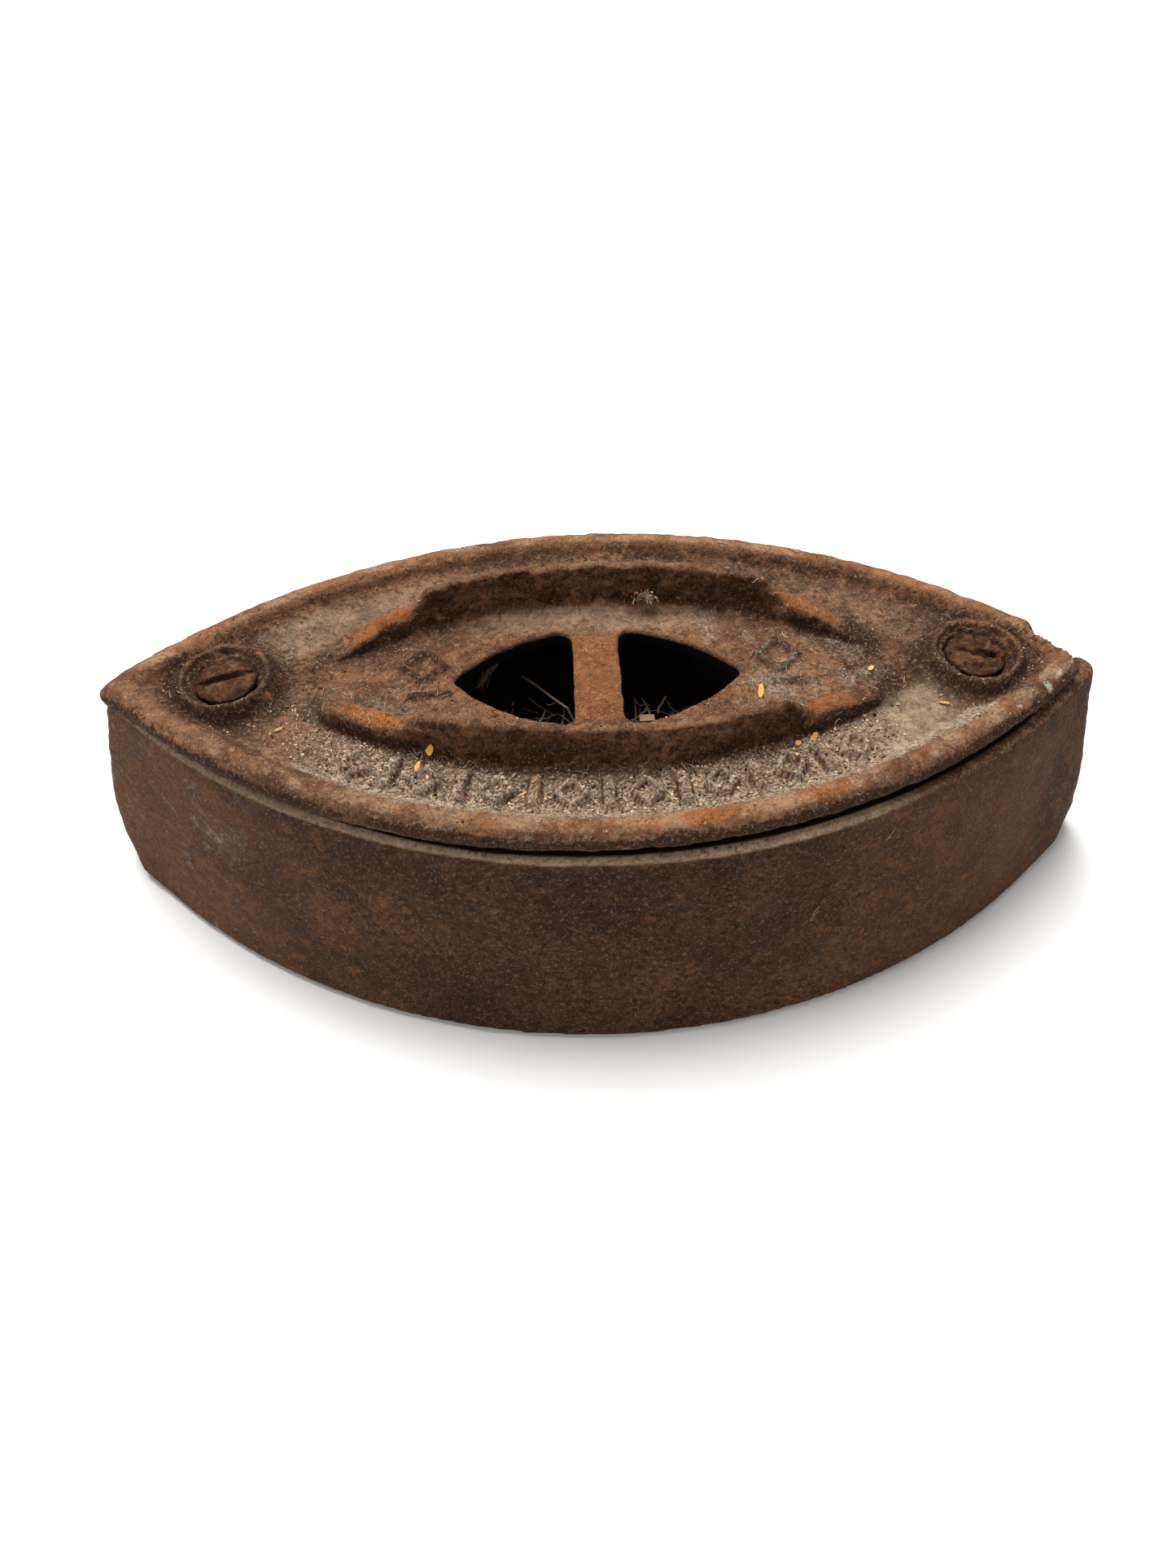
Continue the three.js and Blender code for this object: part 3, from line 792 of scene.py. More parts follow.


# %% [markdown]
# Orange is young rust, on iron that something rubbed bare not long ago. Edges that stand proud are
# paler still, partly because their rust has been polished and partly as painted highlight.

# %% Orange rust, rubbed edges and painted highlight
def rubbed_tails(at):
    """The tails of the ridges, where the handle's foot rubbed."""
    reach = np.abs(at.x)
    ends = smooth_step(reach, RIDGE_HALF - 1, RAMP_END) * smooth_step(reach, TAIL_END, TAIL_END - 8)
    low = np.where(at.y > 0, 0.35, 1.0)
    tops = smooth_step(at.height, low, 2.2 * low) * smooth_step(at.upward, 0.4, 0.8)
    tails = ridge_near(at.x, at.y, 1.3) * ends * tops
    return tails * np.where(at.x < 0, 0.8, 0.6) * (1 + 0.3 * at.fine)


def bead_top(at):
    top = smooth_step(at.inset, 0.4, 1.4) * smooth_step(at.inset, 4.2, 2.8)
    return top * at.upward * (at.height > 0.7) * (1 - 0.8 * at.chip)


def ridge_crests(at):
    return smooth_step(at.height, 6.5, 7.1) * smooth_step(at.upward, 0.3, 0.8)


def cap_orange(at):
    bridge = smooth_step(np.abs(at.x + 0.5), 4.6, 3.4) * smooth_step(np.abs(at.y), 12, 8)
    orange = rubbed_tails(at) + 0.5 * bridge * (at.height > -1) + 0.1 * ridge_crests(at)
    by_place = 0.34 + 0.3 * smooth_step(np.abs(at.x - 4), 40, 8) * (at.y < 0) + 0.1 * (at.y > 0)
    return orange + bead_top(at) * (by_place + 0.3 * at.patchy)


def cap_wear_and_highlight(at):
    """Pale tan for wear and painted highlight: crests, the bead's top, the bosses' rings, the windows'
    edges.
    """
    lips = smooth_step(at.upward, 0.9, 0.6) * (at.upward > 0.15) * at.windows * (at.height < 0.4)
    for screw_x in SCREW_X:
        r = np.hypot(at.x - screw_x, at.y)
        lips = np.maximum(lips, 0.75 * smooth_step(np.abs(r - BOSS_CREST), 1.0, 0.2))
    wear_and_highlight = 0.22 * ridge_crests(at) * (0.8 + 0.9 * at.fine)
    wear_and_highlight += bead_top(at) * (0.5 + 0.4 * at.fine)
    return wear_and_highlight + 0.1 * at.panel + 0.4 * lips


# %% [markdown]
# Last come the smallest and the darkest: a few nicks of bare metal with a painted highlight along
# the bead's edge, and painted shade, near black, in places so deep that no light comes back from
# them. Then every rule is asked, and its answer is stored on the points.

# %% Scuffs, a painted highlight and painted shade
def cap_scuff_and_highlight(at):
    """Bare grey metal in two nicks, and a painted highlight along the bead's edge at the front right."""
    # Painted highlight along the bead's top-outer edge at the front right
    edge_highlight = smooth_step(np.abs(at.inset - 1.2), 0.9, 0.2) * (at.y < 0)
    edge_highlight = edge_highlight * smooth_step(np.abs(at.x - 69.4), 3.2, 1.6)
    nicks = blob(at.x, at.y, (65.6, -7.3), 0.7) + blob(at.x, at.y, (60.2, -11.2), 0.5)
    return 1.1 * (nicks + 0.5 * edge_highlight) * (0.8 + 0.4 * at.fine)


def cap_painted_shade(at):
    """Painted shade where no light reaches: the seam under the bead's front, and the windows' walls."""
    wide = smooth_step(at.x, -50, -15) * smooth_step(at.x, 70, 60)
    seam = ((CAP_SEAT + 0.15 + 0.75 * wide - at.z) / 1.5).clip(0, 1)
    seam = seam * (at.inset < 5) * (at.y < 0) * smooth_step(at.x, 72, 68)
    walls = at.windows * smooth_step(at.z, PANEL - 0.1, PANEL - 0.9) * (at.upward < 0.6)
    return seam + 0.62 * walls


CAP_PAINTS = {
    "dust": cap_dust,
    "film": cap_film,
    "soot_and_shade": cap_soot_and_shade,
    "orange": cap_orange,
    "wear_and_highlight": cap_wear_and_highlight,
    "scuff_and_highlight": cap_scuff_and_highlight,
    "painted_shade": cap_painted_shade,
}


def paint_by_rules(mesh, at, rules):
    for name, rule in rules.items():
        amount = rule(at)
        paint(mesh, name, amount)
        print(name, "covers this share of the points:", round(float((amount > 0.5).mean()), 3))


paint_by_rules(cap.data, cap_at, CAP_PAINTS)

# %% [markdown]
# ## Rust as a material
# Old iron is not one brown. Close up it is a dark skin of scale, warm brown rust over it, orange
# where the rust is fresh, and grey-tan dust on top. The material stacks these as layers. Each layer
# has a colour and a share, and the share is a painted mask broken up by noise, so that its border
# is ragged. An image could be wrapped round the iron instead, but it would blur close up and would
# have to be unwrapped anew after every change of shape. A few helpers keep the node code short.

# %% Node helpers
def add(tree, kind, **values):
    """Adds a node. Names that are sockets set the socket's value or link, others set a property."""
    node = tree.nodes.new("ShaderNode" + kind)
    for name, value in values.items():
        socket = node.inputs.get(name.replace("_", " "))
        if socket is None:
            setattr(node, name, value)
        elif isinstance(value, bpy.types.NodeSocket):
            tree.links.new(value, socket)
        else:
            socket.default_value = value
    return node


def noise(tree, place, width, detail=4.0, roughness=0.6, distortion=0.0):
    """Noise whose lumps are about this many millimetres wide."""
    node = add(tree, "TexNoise", Vector=place, Scale=1 / (width * MM), Detail=detail)
    node.inputs["Roughness"].default_value = roughness
    node.inputs["Distortion"].default_value = distortion
    return node.outputs["Fac"]


def stretch(tree, value, low, high, to_low=0.0, to_high=1.0):
    node = add(tree, "MapRange", Value=value)
    node.inputs["From Min"].default_value = low
    node.inputs["From Max"].default_value = high
    node.inputs["To Min"].default_value = to_low
    node.inputs["To Max"].default_value = to_high
    return node.outputs["Result"]


def maths(tree, operation, a, b):
    node = tree.nodes.new("ShaderNodeMath")
    node.operation = operation
    for socket, value in zip(node.inputs, (a, b)):
        if isinstance(value, bpy.types.NodeSocket):
            tree.links.new(value, socket)
        else:
            socket.default_value = value
    return node.outputs["Value"]


def mix(tree, share, below, above):
    """One colour layer over another."""
    node = tree.nodes.new("ShaderNodeMix")
    node.data_type = "RGBA"
    colours = [s for s in node.inputs if s.type == "RGBA"]
    for socket, value in ((node.inputs[0], share), (colours[0], below), (colours[1], above)):
        if isinstance(value, bpy.types.NodeSocket):
            tree.links.new(value, socket)
        elif isinstance(value, (int, float)):
            socket.default_value = value
        else:
            socket.default_value = (*value, 1)
    return [s for s in node.outputs if s.type == "RGBA"][0]


def mask(tree, name):
    return add(tree, "Attribute", attribute_name=name).outputs["Fac"]


def ragged(tree, share, breaker, softness):
    """A mask with a ragged border: nothing where it is 0, all where it is 1, and noise between."""
    reach = stretch(tree, share, 0, 1, -softness, 1 + softness)
    edge = maths(tree, "SUBTRACT", reach, breaker)
    return stretch(tree, edge, -softness, softness)


# %% [markdown]
# The layers go on from the bottom up: scale and rust, then what is painted, then pale specks, dark
# blotches and pits over everything, because nothing that has rusted for decades is smooth or clean.
# Roughness and bump follow the same noises. Every noise is read in the object's own space, so the
# pattern stays on the piece when it moves.

# %% The rust material
SHINE = 0.14  # old rust hardly shines


def iron_noises(tree):
    """The noises that all layers share, from patches a centimetre wide down to single grains."""
    place = add(tree, "TexCoord").outputs["Object"]
    elsewhere = add(tree, "Mapping", Vector=place, Location=(3, 1, 2)).outputs[0]
    return SimpleNamespace(
        patches=noise(tree, place, 14, 6, 0.6),
        mottle=noise(tree, place, 3.0, 8, 0.62, 0.4),
        blotch=noise(tree, place, 1.7, 6, 0.7, 1.0),
        speckle=noise(tree, place, 0.9, 6, 0.65, 0.8),
        grain=noise(tree, place, 0.42, 3, 0.7),
        fleck=noise(tree, elsewhere, 0.6, 3, 0.7),
    )


def cover(tree, colour, amount, strength, above):
    """Lays a colour over another, by an amount times a strength."""
    return mix(tree, maths(tree, "MULTIPLY", amount, strength), colour, above)


def painted_layers(tree, noises, colour):
    """Orange rust, sooty shade, edges worn and highlit, dust and film, painted by the masks on the
    points.
    """
    speckle, grain, mottle = noises.speckle, noises.grain, noises.mottle
    orange = ragged(tree, mask(tree, "orange"), stretch(tree, speckle, 0.25, 0.75), 0.32)
    colour = cover(tree, colour, orange, 0.75, tone("a4602f"))
    colour = cover(tree, colour, stretch(tree, noises.fleck, 0.60, 0.68), 0.6, tone("a9602f"))
    # Soot and painted shade: dark brown on faces that look sideways or down, in creases and under the cap
    soot_and_shade = ragged(tree, mask(tree, "soot_and_shade"), stretch(tree, speckle, 0.3, 0.7), 0.5)
    colour = cover(tree, colour, soot_and_shade, 0.85, tone("2c1b11"))
    # Rubbed wear and painted highlight: pale tan on crests, edges and tops
    coarse, fine = stretch(tree, speckle, 0.3, 0.7), stretch(tree, grain, 0.38, 0.58, 0.5, 1.5)
    wear_and_highlight = ragged(tree, mask(tree, "wear_and_highlight"), maths(tree, "MULTIPLY", coarse, fine), 0.22)
    colour = cover(tree, colour, wear_and_highlight, 0.75, tone("b38f6e"))
    dust = ragged(tree, mask(tree, "dust"), stretch(tree, mottle, 0.25, 0.75), 0.5)
    dust_colour = mix(tree, stretch(tree, grain, 0.36, 0.64), tone("544436"), tone("e0c9ae"))
    colour = cover(tree, colour, dust, 0.85, dust_colour)
    film_colour = mix(tree, stretch(tree, mottle, 0.35, 0.65), tone("92795f"), tone("bda68a"))
    return cover(tree, colour, mask(tree, "film"), 0.9, film_colour)


def iron_bumps(tree, noises):
    """Three sizes of roughness, each on top of the last."""
    coarse = add(tree, "Bump", Height=noises.blotch, Strength=0.8, Distance=0.5 * MM)
    below = coarse.outputs["Normal"]
    medium = add(tree, "Bump", Height=noises.speckle, Strength=1.0, Distance=0.4 * MM, Normal=below)
    below = medium.outputs["Normal"]
    return add(tree, "Bump", Height=noises.grain, Strength=1.0, Distance=0.2 * MM, Normal=below)


def rusted_iron(name, skin, brown, warm, specks=0.35, blotches=0.35):
    """Iron with a dark skin, brown and warm rust, painted sooty shade, highlight, orange, dust and
    scuffs.
    """
    material = bpy.data.materials.new(name)
    material.use_nodes = True
    tree = material.node_tree
    shader = tree.nodes["Principled BSDF"]
    noises = iron_noises(tree)
    colour = mix(tree, stretch(tree, noises.patches, 0.38, 0.62), skin, brown)
    colour = mix(tree, stretch(tree, noises.mottle, 0.5, 0.68, 0, 0.6), colour, warm)
    colour = painted_layers(tree, noises, colour)
    colour = mix(tree, stretch(tree, noises.grain, 0.54, 0.68, 0, specks), colour, tone("b0906f"))
    colour = mix(tree, stretch(tree, noises.blotch, 0.50, 0.62, 0, blotches), colour, tone("33221a"))
    pits = stretch(tree, noises.speckle, 0.36, 0.50, 0.75, 0)
    colour = cover(tree, colour, pits, stretch(tree, noises.patches, 0.38, 0.60, 0.4, 1), tone("1d120b"))
    # Bare metal in nicks, and a painted highlight along the bead's edge: pale grey
    scuff_and_highlight = ragged(tree, mask(tree, "scuff_and_highlight"), stretch(tree, noises.speckle, 0.2, 0.8), 0.2)
    colour = cover(tree, colour, scuff_and_highlight, 0.8, tone("c4bbb0"))
    # Painted shade: near black in the seam, the windows' walls, under the cap's lip and in the slots
    colour = mix(tree, stretch(tree, mask(tree, "painted_shade"), 0.37, 0.57), colour, tone("0a0604"))
    tree.links.new(colour, shader.inputs["Base Color"])
    tree.links.new(stretch(tree, noises.mottle, 0.3, 0.7, 0.75, 0.97), shader.inputs["Roughness"])
    shader.inputs["Specular IOR Level"].default_value = SHINE
    tree.links.new(iron_bumps(tree, noises).outputs["Normal"], shader.inputs["Normal"])
    return material


cap_rust = rusted_iron("rusty cap iron", tone("503424"), tone("80583d"), tone("a2734f"), 0.55)
dress(cap, "cap_plate", "cap", cap_rust)

# %% [markdown]
# ## The body casting
# The body gets the same treatment with a wider square, because its walls are broad and plain. Its
# two points are worn round at the foot, where the iron was set down and dragged, and scale has
# built up on its right corner, where the cap's own point is gone.

# %% Body shape
BODY_SQUARE = 0.66
BODY_STRETCH = (70, 82, (1.9, 1.6))
TIP_WEAR = 3.4
RIGHT_TIP_SHARE = 0.6  # of that, on the right point
CORNER_RISE = 1.7
body_low, body_high = (np.array(corner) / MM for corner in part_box("body_casting"))
BODY_END = body_high[0]
RIM_TOP = body_high[2]


def wear_body(mesh):
    points = points_of(mesh)
    x, y, z = points.T
    reach = np.abs(x)
    low_down = 0.6 * smooth_step(z, 7, 0) + 0.4 * smooth_step(z, 24, 4)
    worn = smooth_step(reach, BODY_END - 5, BODY_END) * low_down
    points[:, 0] -= np.sign(x) * np.where(x < 0, TIP_WEAR, RIGHT_TIP_SHARE * TIP_WEAR) * worn
    relief = 0.07 * layered(points, 3.2, 71, 3) + 0.03 * lumps(points, 1.3, 73)
    pits = smooth_step(lumps(points, 4.1, 79), 0.55, 0.9)
    points[:, 2] += CORNER_RISE * smooth_step(x, 72.0, 73.6) * smooth_step(z, 33.0, 36.6)
    set_points(mesh, points)
    sole_edge = 0.25 * smooth_step(z, 3.0, 0.6) * smooth_step(reach, 76, 70)
    push(mesh, relief - 0.04 - 0.12 * pits + sole_edge)
    points = points_of(mesh)
    points[:, 2] = points[:, 2].clip(0)
    set_points(mesh, points)


body = remesh(node_copy("body_casting", "rusted_body_casting"), BODY_SQUARE)
relax(body.data, 7, 0.5)
relax(body.data, 14, 0.5 * smooth_step(np.abs(points_of(body.data)[:, 0]), 72, 78))
stretch_points(body.data, *BODY_STRETCH)
wear_body(body.data)
low, high = points_of(body.data).min(0), points_of(body.data).max(0)
print("worn body, mm:", low.round(2), high.round(2))

# %% [markdown]
# A narrow ledge of the casting's rim shows past the cap and carries dust. Under the cap's lip the
# rim is painted black as shade, and the inside is painted dark as shade too. The wall has almost
# nothing on it but a darker middle, paler ends, a few orange spots and three smears.

# %% Body paint
BODY_SPOTS = (  # x and z on the front wall, and width
    (-33, 25, 1.3), (56, 14, 0.9), (-34, 21, 1.0), (61, 24, 0.8), (66, 29, 0.7), (52, 30, 0.6),
)
BODY_SMEARS = ((-19.4, 20, 1.1), (15.7, 13, 1.8), (13, 15, 1.4))
CAVITY = (48, 68.2, 96)  # half its length, then the offset and radius of its two arcs


def places_on_body(mesh):
    points = points_of(mesh)
    x, y, z = points.T
    at = SimpleNamespace(x=x, y=y, z=z, upward=normals_of(mesh)[:, 2])
    at.cap_inset = edge_distance(*on_cap(points)[:2])
    at.patchy = layered(points, 12, 81)
    at.fine = layered(points, 3, 83)
    at.front = y < 0
    at.rim = smooth_step(z, RIM_TOP - 1.2, RIM_TOP - 0.5)
    at.ledge = at.rim * smooth_step(at.upward, 0.3, 0.7) * smooth_step(at.cap_inset, 1.6, 0.8)
    return at


def spots_on_wall(at, spots):
    return sum(blob(at.x, at.z, (x, z), width) for x, z, width in spots) * at.front


def body_dust(at):
    # Paler towards both ends of the front wall
    ends = 0.2 * smooth_step(at.x, -38, -62) + 0.12 * smooth_step(at.x, 45, 66)
    patch = 0.15 * blob(at.x, at.z, (-57, 25), 4)
    on_ledge = 0.58 * at.ledge * smooth_step(at.x, 56, 34)
    return on_ledge + (patch + ends) * at.front + 0.25 * spots_on_wall(at, BODY_SMEARS)


def body_film(at):
    return 0.5 * at.ledge * smooth_step(at.x, 50, 28)


def body_soot_and_shade(at):
    half, offset, radius = CAVITY
    past_arc = smooth_step(np.hypot(at.x, np.abs(at.y) + offset), radius + 0.5, radius - 0.4)
    # Painted shade: the hollow inside, under the cap, is darkened
    inside = smooth_step(at.z, 36.4, 35.8) * (np.abs(at.x) < half) * past_arc
    # Darker towards the middle of the wall, on faces that don't look up
    middle = 0.6 * smooth_step(np.abs(at.x), 60, 15) * (at.upward < 0.5)
    # Painted shade on the rim's top, where the cap covers it
    top = smooth_step(at.z, RIM_TOP - 2.5, RIM_TOP - 1.5)
    return middle + 0.18 * at.patchy + inside + 1.3 * smooth_step(at.cap_inset, 0.5, 2.0) * top


def body_orange(at):
    patches = 0.18 * (at.patchy - 0.3).clip(0)
    return 0.3 * at.rim + patches + 0.55 * spots_on_wall(at, BODY_SPOTS)


def body_wear_and_highlight(at):
    ledge_wear = 0.95 - 0.75 * smooth_step(at.x, 24, 48)
    # Paler towards both ends of the wall, and on the ledge
    return ledge_wear * at.ledge * (1 + 0.5 * at.fine) + 0.22 * smooth_step(np.abs(at.x), 30, 60)


def body_scuff(at):
    return 0.4 * blob(at.x, at.z, (-57.5, 26), 0.6) * at.front


def body_painted_shade(at):
    """Painted shade, black, on the rim under the cap's lip, and wider where the seam has opened."""
    reach = 0.1 + 0.9 * smooth_step(at.x, -50, -15) * smooth_step(at.x, 70, 60)
    covered = ((at.cap_inset + reach) / 2.0).clip(0, 1) * smooth_step(at.z, RIM_TOP - 1.6, RIM_TOP - 0.9)
    covered = covered * smooth_step(at.x, 72.2, 71.2) * smooth_step(at.cap_inset, 4.5, 2.5)
    return covered * smooth_step(at.upward, 0.0, 0.4)


BODY_PAINTS = {
    "dust": body_dust,
    "film": body_film,
    "soot_and_shade": body_soot_and_shade,
    "orange": body_orange,
    "wear_and_highlight": body_wear_and_highlight,
    "scuff_and_highlight": body_scuff,
    "painted_shade": body_painted_shade,
}
paint_by_rules(body.data, places_on_body(body.data), BODY_PAINTS)
body_rust = rusted_iron("rusty body iron", tone("3c271b"), tone("62412c"), tone("80563a"), 0.35, 0.25)
dress(body, "body_casting", "body", body_rust)

# %% [markdown]
# ## The two screws
# Their heads sit down inside the bosses, as rusty as the cap, with dirt packed into the slot's
# ends and along the head's rim. A slipping screwdriver has chewed the slot of the right one.

# %% Screws
SCREW_SQUARE = 0.2
SLOT_REACH = 4.3  # the slot's ends, from the screw's middle line
CHEWED = {"left": 0.25, "right": 0.9}  # how deep the screwdriver has bitten


def make_screw(side):
    node = side + "_cap_screw"
    screw = remesh(node_copy(node, "rusted_" + node), SCREW_SQUARE)
    relax(screw.data, 5, 0.5)
    points = points_of(screw.data)
    low, high = (np.array(corner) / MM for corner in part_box(node))
    centre = (low + high) / 2
    below_top = high[2] - points[:, 2]
    r = np.hypot(points[:, 0] - centre[0], points[:, 1] - centre[1])
    chewed = CHEWED[side] * smooth_step(below_top, 1.4, 0.9) * (r < SLOT_REACH - 0.1)
    push(screw.data, 0.09 * layered(points, 1.6, 91) - 0.05 - chewed * lumps(points, 1.3, 97).clip(0))
    head = smooth_step(below_top, 2.3, 1.7)
    slot = head * smooth_step(below_top, 0.55, 0.85) * (r < SLOT_REACH)
    rim = smooth_step(r, 3.5, 4.5) * head
    fine = layered(points, 1.8, 93)
    paint(screw.data, "dust", 0.12 * head)
    paint(screw.data, "soot_and_shade", 0.5 * rim + 0.35 * head + 0.5 * fine * head + 0.3 * (1 - head))
    paint(screw.data, "orange", 0.15 * head * (1 - rim) + 0.2 * fine)
    # Painted shade down the slot, darkest in its middle
    paint(screw.data, "painted_shade", 0.52 * slot * smooth_step(r, 4.4, 2.6))
    dress(screw, node, side + "_screw", screw_rust)


screw_rust = rusted_iron("rusty screw iron", tone("432a1b"), tone("6a442b"), tone("85573a"), 0.2)
for side in ("left", "right"):
    make_screw(side)

# %% [markdown]
# ## The filling
# Under the windows lies a plaster filling that kept the heat off the hand. It is painted near black,
# for soot and for the shade of the well under the cap, so it needs only a dark, dull material with
# a little pale grain, and a relief of soft lumps.

# %% Filling
FILLING_SQUARE = 0.8
filling = remesh(node_copy("insulating_filling", "sooty_shaded_filling"), FILLING_SQUARE)
relax(filling.data, 3, 0.5)
push(filling.data, 0.12 * layered(points_of(filling.data), 4, 95) - 0.1)


def sooty_shaded_plaster():
    material = bpy.data.materials.new("sooty shaded plaster")
    material.use_nodes = True
    tree = material.node_tree
    shader = tree.nodes["Principled BSDF"]
    place = add(tree, "TexCoord").outputs["Object"]
    patches = noise(tree, place, 9, 6)
    grain = noise(tree, place, 0.8, 5)
    # Near black: soot and the painted shade of the well under the cap
    colour = mix(tree, stretch(tree, patches, 0.35, 0.65), tone("0f0b09"), tone("211813"))
    colour = mix(tree, stretch(tree, grain, 0.62, 0.75, 0, 0.4), colour, tone("4a3a2c"))
    tree.links.new(colour, shader.inputs["Base Color"])
    shader.inputs["Roughness"].default_value = 0.95
    shader.inputs["Specular IOR Level"].default_value = 0.1
    bump = add(tree, "Bump", Height=grain, Strength=0.8, Distance=0.3 * MM)
    tree.links.new(bump.outputs["Normal"], shader.inputs["Normal"])
    return material


dress(filling, "insulating_filling", "body", sooty_shaded_plaster())

# %% [markdown]
# ## Grit, fibres and straw
# The dust on the panel isn't a film: it is thousands of grains and short fibres of chaff that have
# settled there. Grains and fibres are built as real meshes, because their small shadows are what
# makes the dust look deep. Each lies on the worn surface: a ray is dropped from above, and the
# surface's height and tilt where it lands place the grain. Everything of one kind is joined into
# one mesh, with a random shade stored on its points.

# %% Drop things on a surface
DROP_FROM = 200 * MM


def tree_of(piece):
    """A structure that answers quickly where a ray meets the piece."""
    corners = [v.co.copy() for v in piece.data.vertices]
    faces = [tuple(p.vertices) for p in piece.data.polygons]
    return BVHTree.FromPolygons(corners, faces)


def drop(surface, x, y):
    """The point and normal where a plumb line at x, y in millimetres meets the surface, or None."""
    start = Vector((x * MM, y * MM, DROP_FROM))
    place, normal, _, _ = surface.ray_cast(start, Vector((0, 0, -1)))
    if place is None:
        return None
    return np.array(place) / MM, np.array(normal)


def litter_material(name, lightest):
    """Chaff and grit: from dark grains to the lightest tone, by the shade stored on the points."""
    material = bpy.data.materials.new(name)
    material.use_nodes = True
    tree = material.node_tree
    shader = tree.nodes["Principled BSDF"]
    place = add(tree, "TexCoord").outputs["Object"]
    shade = mask(tree, "shade")
    grain = noise(tree, place, 0.25, 3, 0.7)
    colour = mix(tree, stretch(tree, shade, 0.0, 0.5), tone("2e2018"), tone("947d66"))
    colour = mix(tree, stretch(tree, shade, 0.5, 1.0), colour, tone(lightest))
    colour = mix(tree, stretch(tree, grain, 0.35, 0.5, 0.5, 0), colour, tone("33241a"))
    tree.links.new(colour, shader.inputs["Base Color"])
    shader.inputs["Roughness"].default_value = 0.9
    shader.inputs["Specular IOR Level"].default_value = 0.15
    bump = add(tree, "Bump", Height=grain, Strength=0.6, Distance=0.08 * MM)
    tree.links.new(bump.outputs["Normal"], shader.inputs["Normal"])
    return material


def join_shapes(name, shapes, body_name, material):
    """One mesh from (points in mm, faces, shade) shapes, riding on a body."""
    points, faces, shades = [], [], []
    start = 0
    for shape_points, shape_faces, shade in shapes:
        points.append(shape_points)
        faces.extend(tuple(start + i for i in face) for face in shape_faces)
        shades.append(np.full(len(shape_points), shade))
        start += len(shape_points)
    mesh = bpy.data.meshes.new(name)
    mesh.from_pydata((np.concatenate(points) * MM).tolist(), [], faces)
    paint(mesh, "shade", np.concatenate(shades))
    piece = bpy.data.objects.new(name, mesh)
    bpy.context.scene.collection.objects.link(piece)
    piece.data.materials.append(material)
    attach(piece, body_name)
    print(name, "has", len(shapes), "shapes and", len(faces), "faces")


litter = litter_material("chaff and grit", "d8ba94")
straw = litter_material("straw", "dda55c")
cap_surface = tree_of(cap)
print("the panel at its middle front is at, mm:", drop(cap_surface, 0, -24)[0].round(2))

# %% [markdown]
# A grain is an octahedron with its six corners pushed about, sunk a third of its size into the
# surface. How many fall at a place follows the same rules as the painted dust: most along the
# front, some behind, a few anywhere.

# %% Grains
GRAINS_TRIED = 62000
OCTAHEDRON = np.array([(1, 0, 0), (-1, 0, 0), (0, 1, 0), (0, -1, 0), (0, 0, 1), (0, 0, -1)], float)
OCTAHEDRON_FACES = (
    (0, 2, 4), (2, 1, 4), (1, 3, 4), (3, 0, 4),
    (2, 0, 5), (1, 2, 5), (3, 1, 5), (0, 3, 5),
)
LOWEST = PANEL - 0.6  # nothing is left lying lower, in a window


def litter_density(x, y):
    """The share of tries that stay at a place on the cap."""
    front = ridge_distance(x, y, -1)
    back = ridge_distance(x, y, 1)
    inset = edge_distance(x, y)
    along_front = smooth_step(x, -52, -34) * smooth_step(x, 46, 30)
    density = np.where((front > 1.5) & (y < 0), along_front, 0.1)
    density = np.where((back > 1.0) & (y > 0), 0.07, density)
    density = np.where((back < 0) & (front < 0), 0.09, density)
    density = np.where(inset < 5.2, 0.04, density)
    density = np.where(inset < 1.0, 0, density)
    for screw_x in SCREW_X:
        r = np.hypot(x - screw_x, y)
        density = np.where(r < HEAD_HOLE, 0, np.where(r < BOSS_RADIUS + 3, 0.10, density))
    relief = ornament(x, y)
    return density * (1 - 0.55 * relief) * (1 - 0.45 * ornament_outline(relief))


def random_places(rng, count):
    """Places on the cap's plan, kept by the litter density."""
    x = rng.uniform(-70, 70, count)
    y = rng.uniform(-31, 31, count)
    keep = rng.uniform(0, 1, count) < litter_density(x, y)
    return x[keep], y[keep]


def grain_shape(rng, place, normal, size):
    """An uneven octahedron, turned at random and sunk into the surface."""
    corners = OCTAHEDRON * rng.uniform(0.5, 1.15, (6, 1)) * size * rng.uniform(0.6, 1.3, 3)
    turn = np.linalg.qr(rng.normal(size=(3, 3)))[0]
    if np.linalg.det(turn) < 0:
        turn[:, 0] *= -1
    return corners @ turn.T + place + normal * size * 0.25


def make_grains(rng):
    shapes = []
    for x, y in zip(*random_places(rng, GRAINS_TRIED)):
        hit = drop(cap_surface, x, y)
        if hit is None or hit[0][2] < LOWEST or hit[1][2] < rng.uniform(0.3, 0.95):
            continue
        on_flat = hit[1][2] > 0.85 and edge_distance(x, y) > BEAD_WIDTH
        in_dust = on_flat and ridge_distance(x, y, -1) > 2
        size = (0.15 if in_dust else 0.11) + 0.26 * rng.random() ** 2 * (1 if in_dust else 0.5)
        shade = rng.random() ** 0.8 * (1 if in_dust else 0.75)
        shapes.append((grain_shape(rng, *hit, size), OCTAHEDRON_FACES, shade))
    return shapes


join_shapes("panel_grit", make_grains(np.random.default_rng(201)), "cap", litter)

# %% [markdown]
# A fibre is a thin three-sided rod that bends as it goes. Each next point turns a little from the
# last direction and is laid back on the surface, with both ends free to lift.

# %% Fibres
FIBRES_TRIED = 14000
FIBRE_LIFT = 0.16
ROD_SIDES = 3
ROD_PINCH = 0.55  # of the radius, at both ends


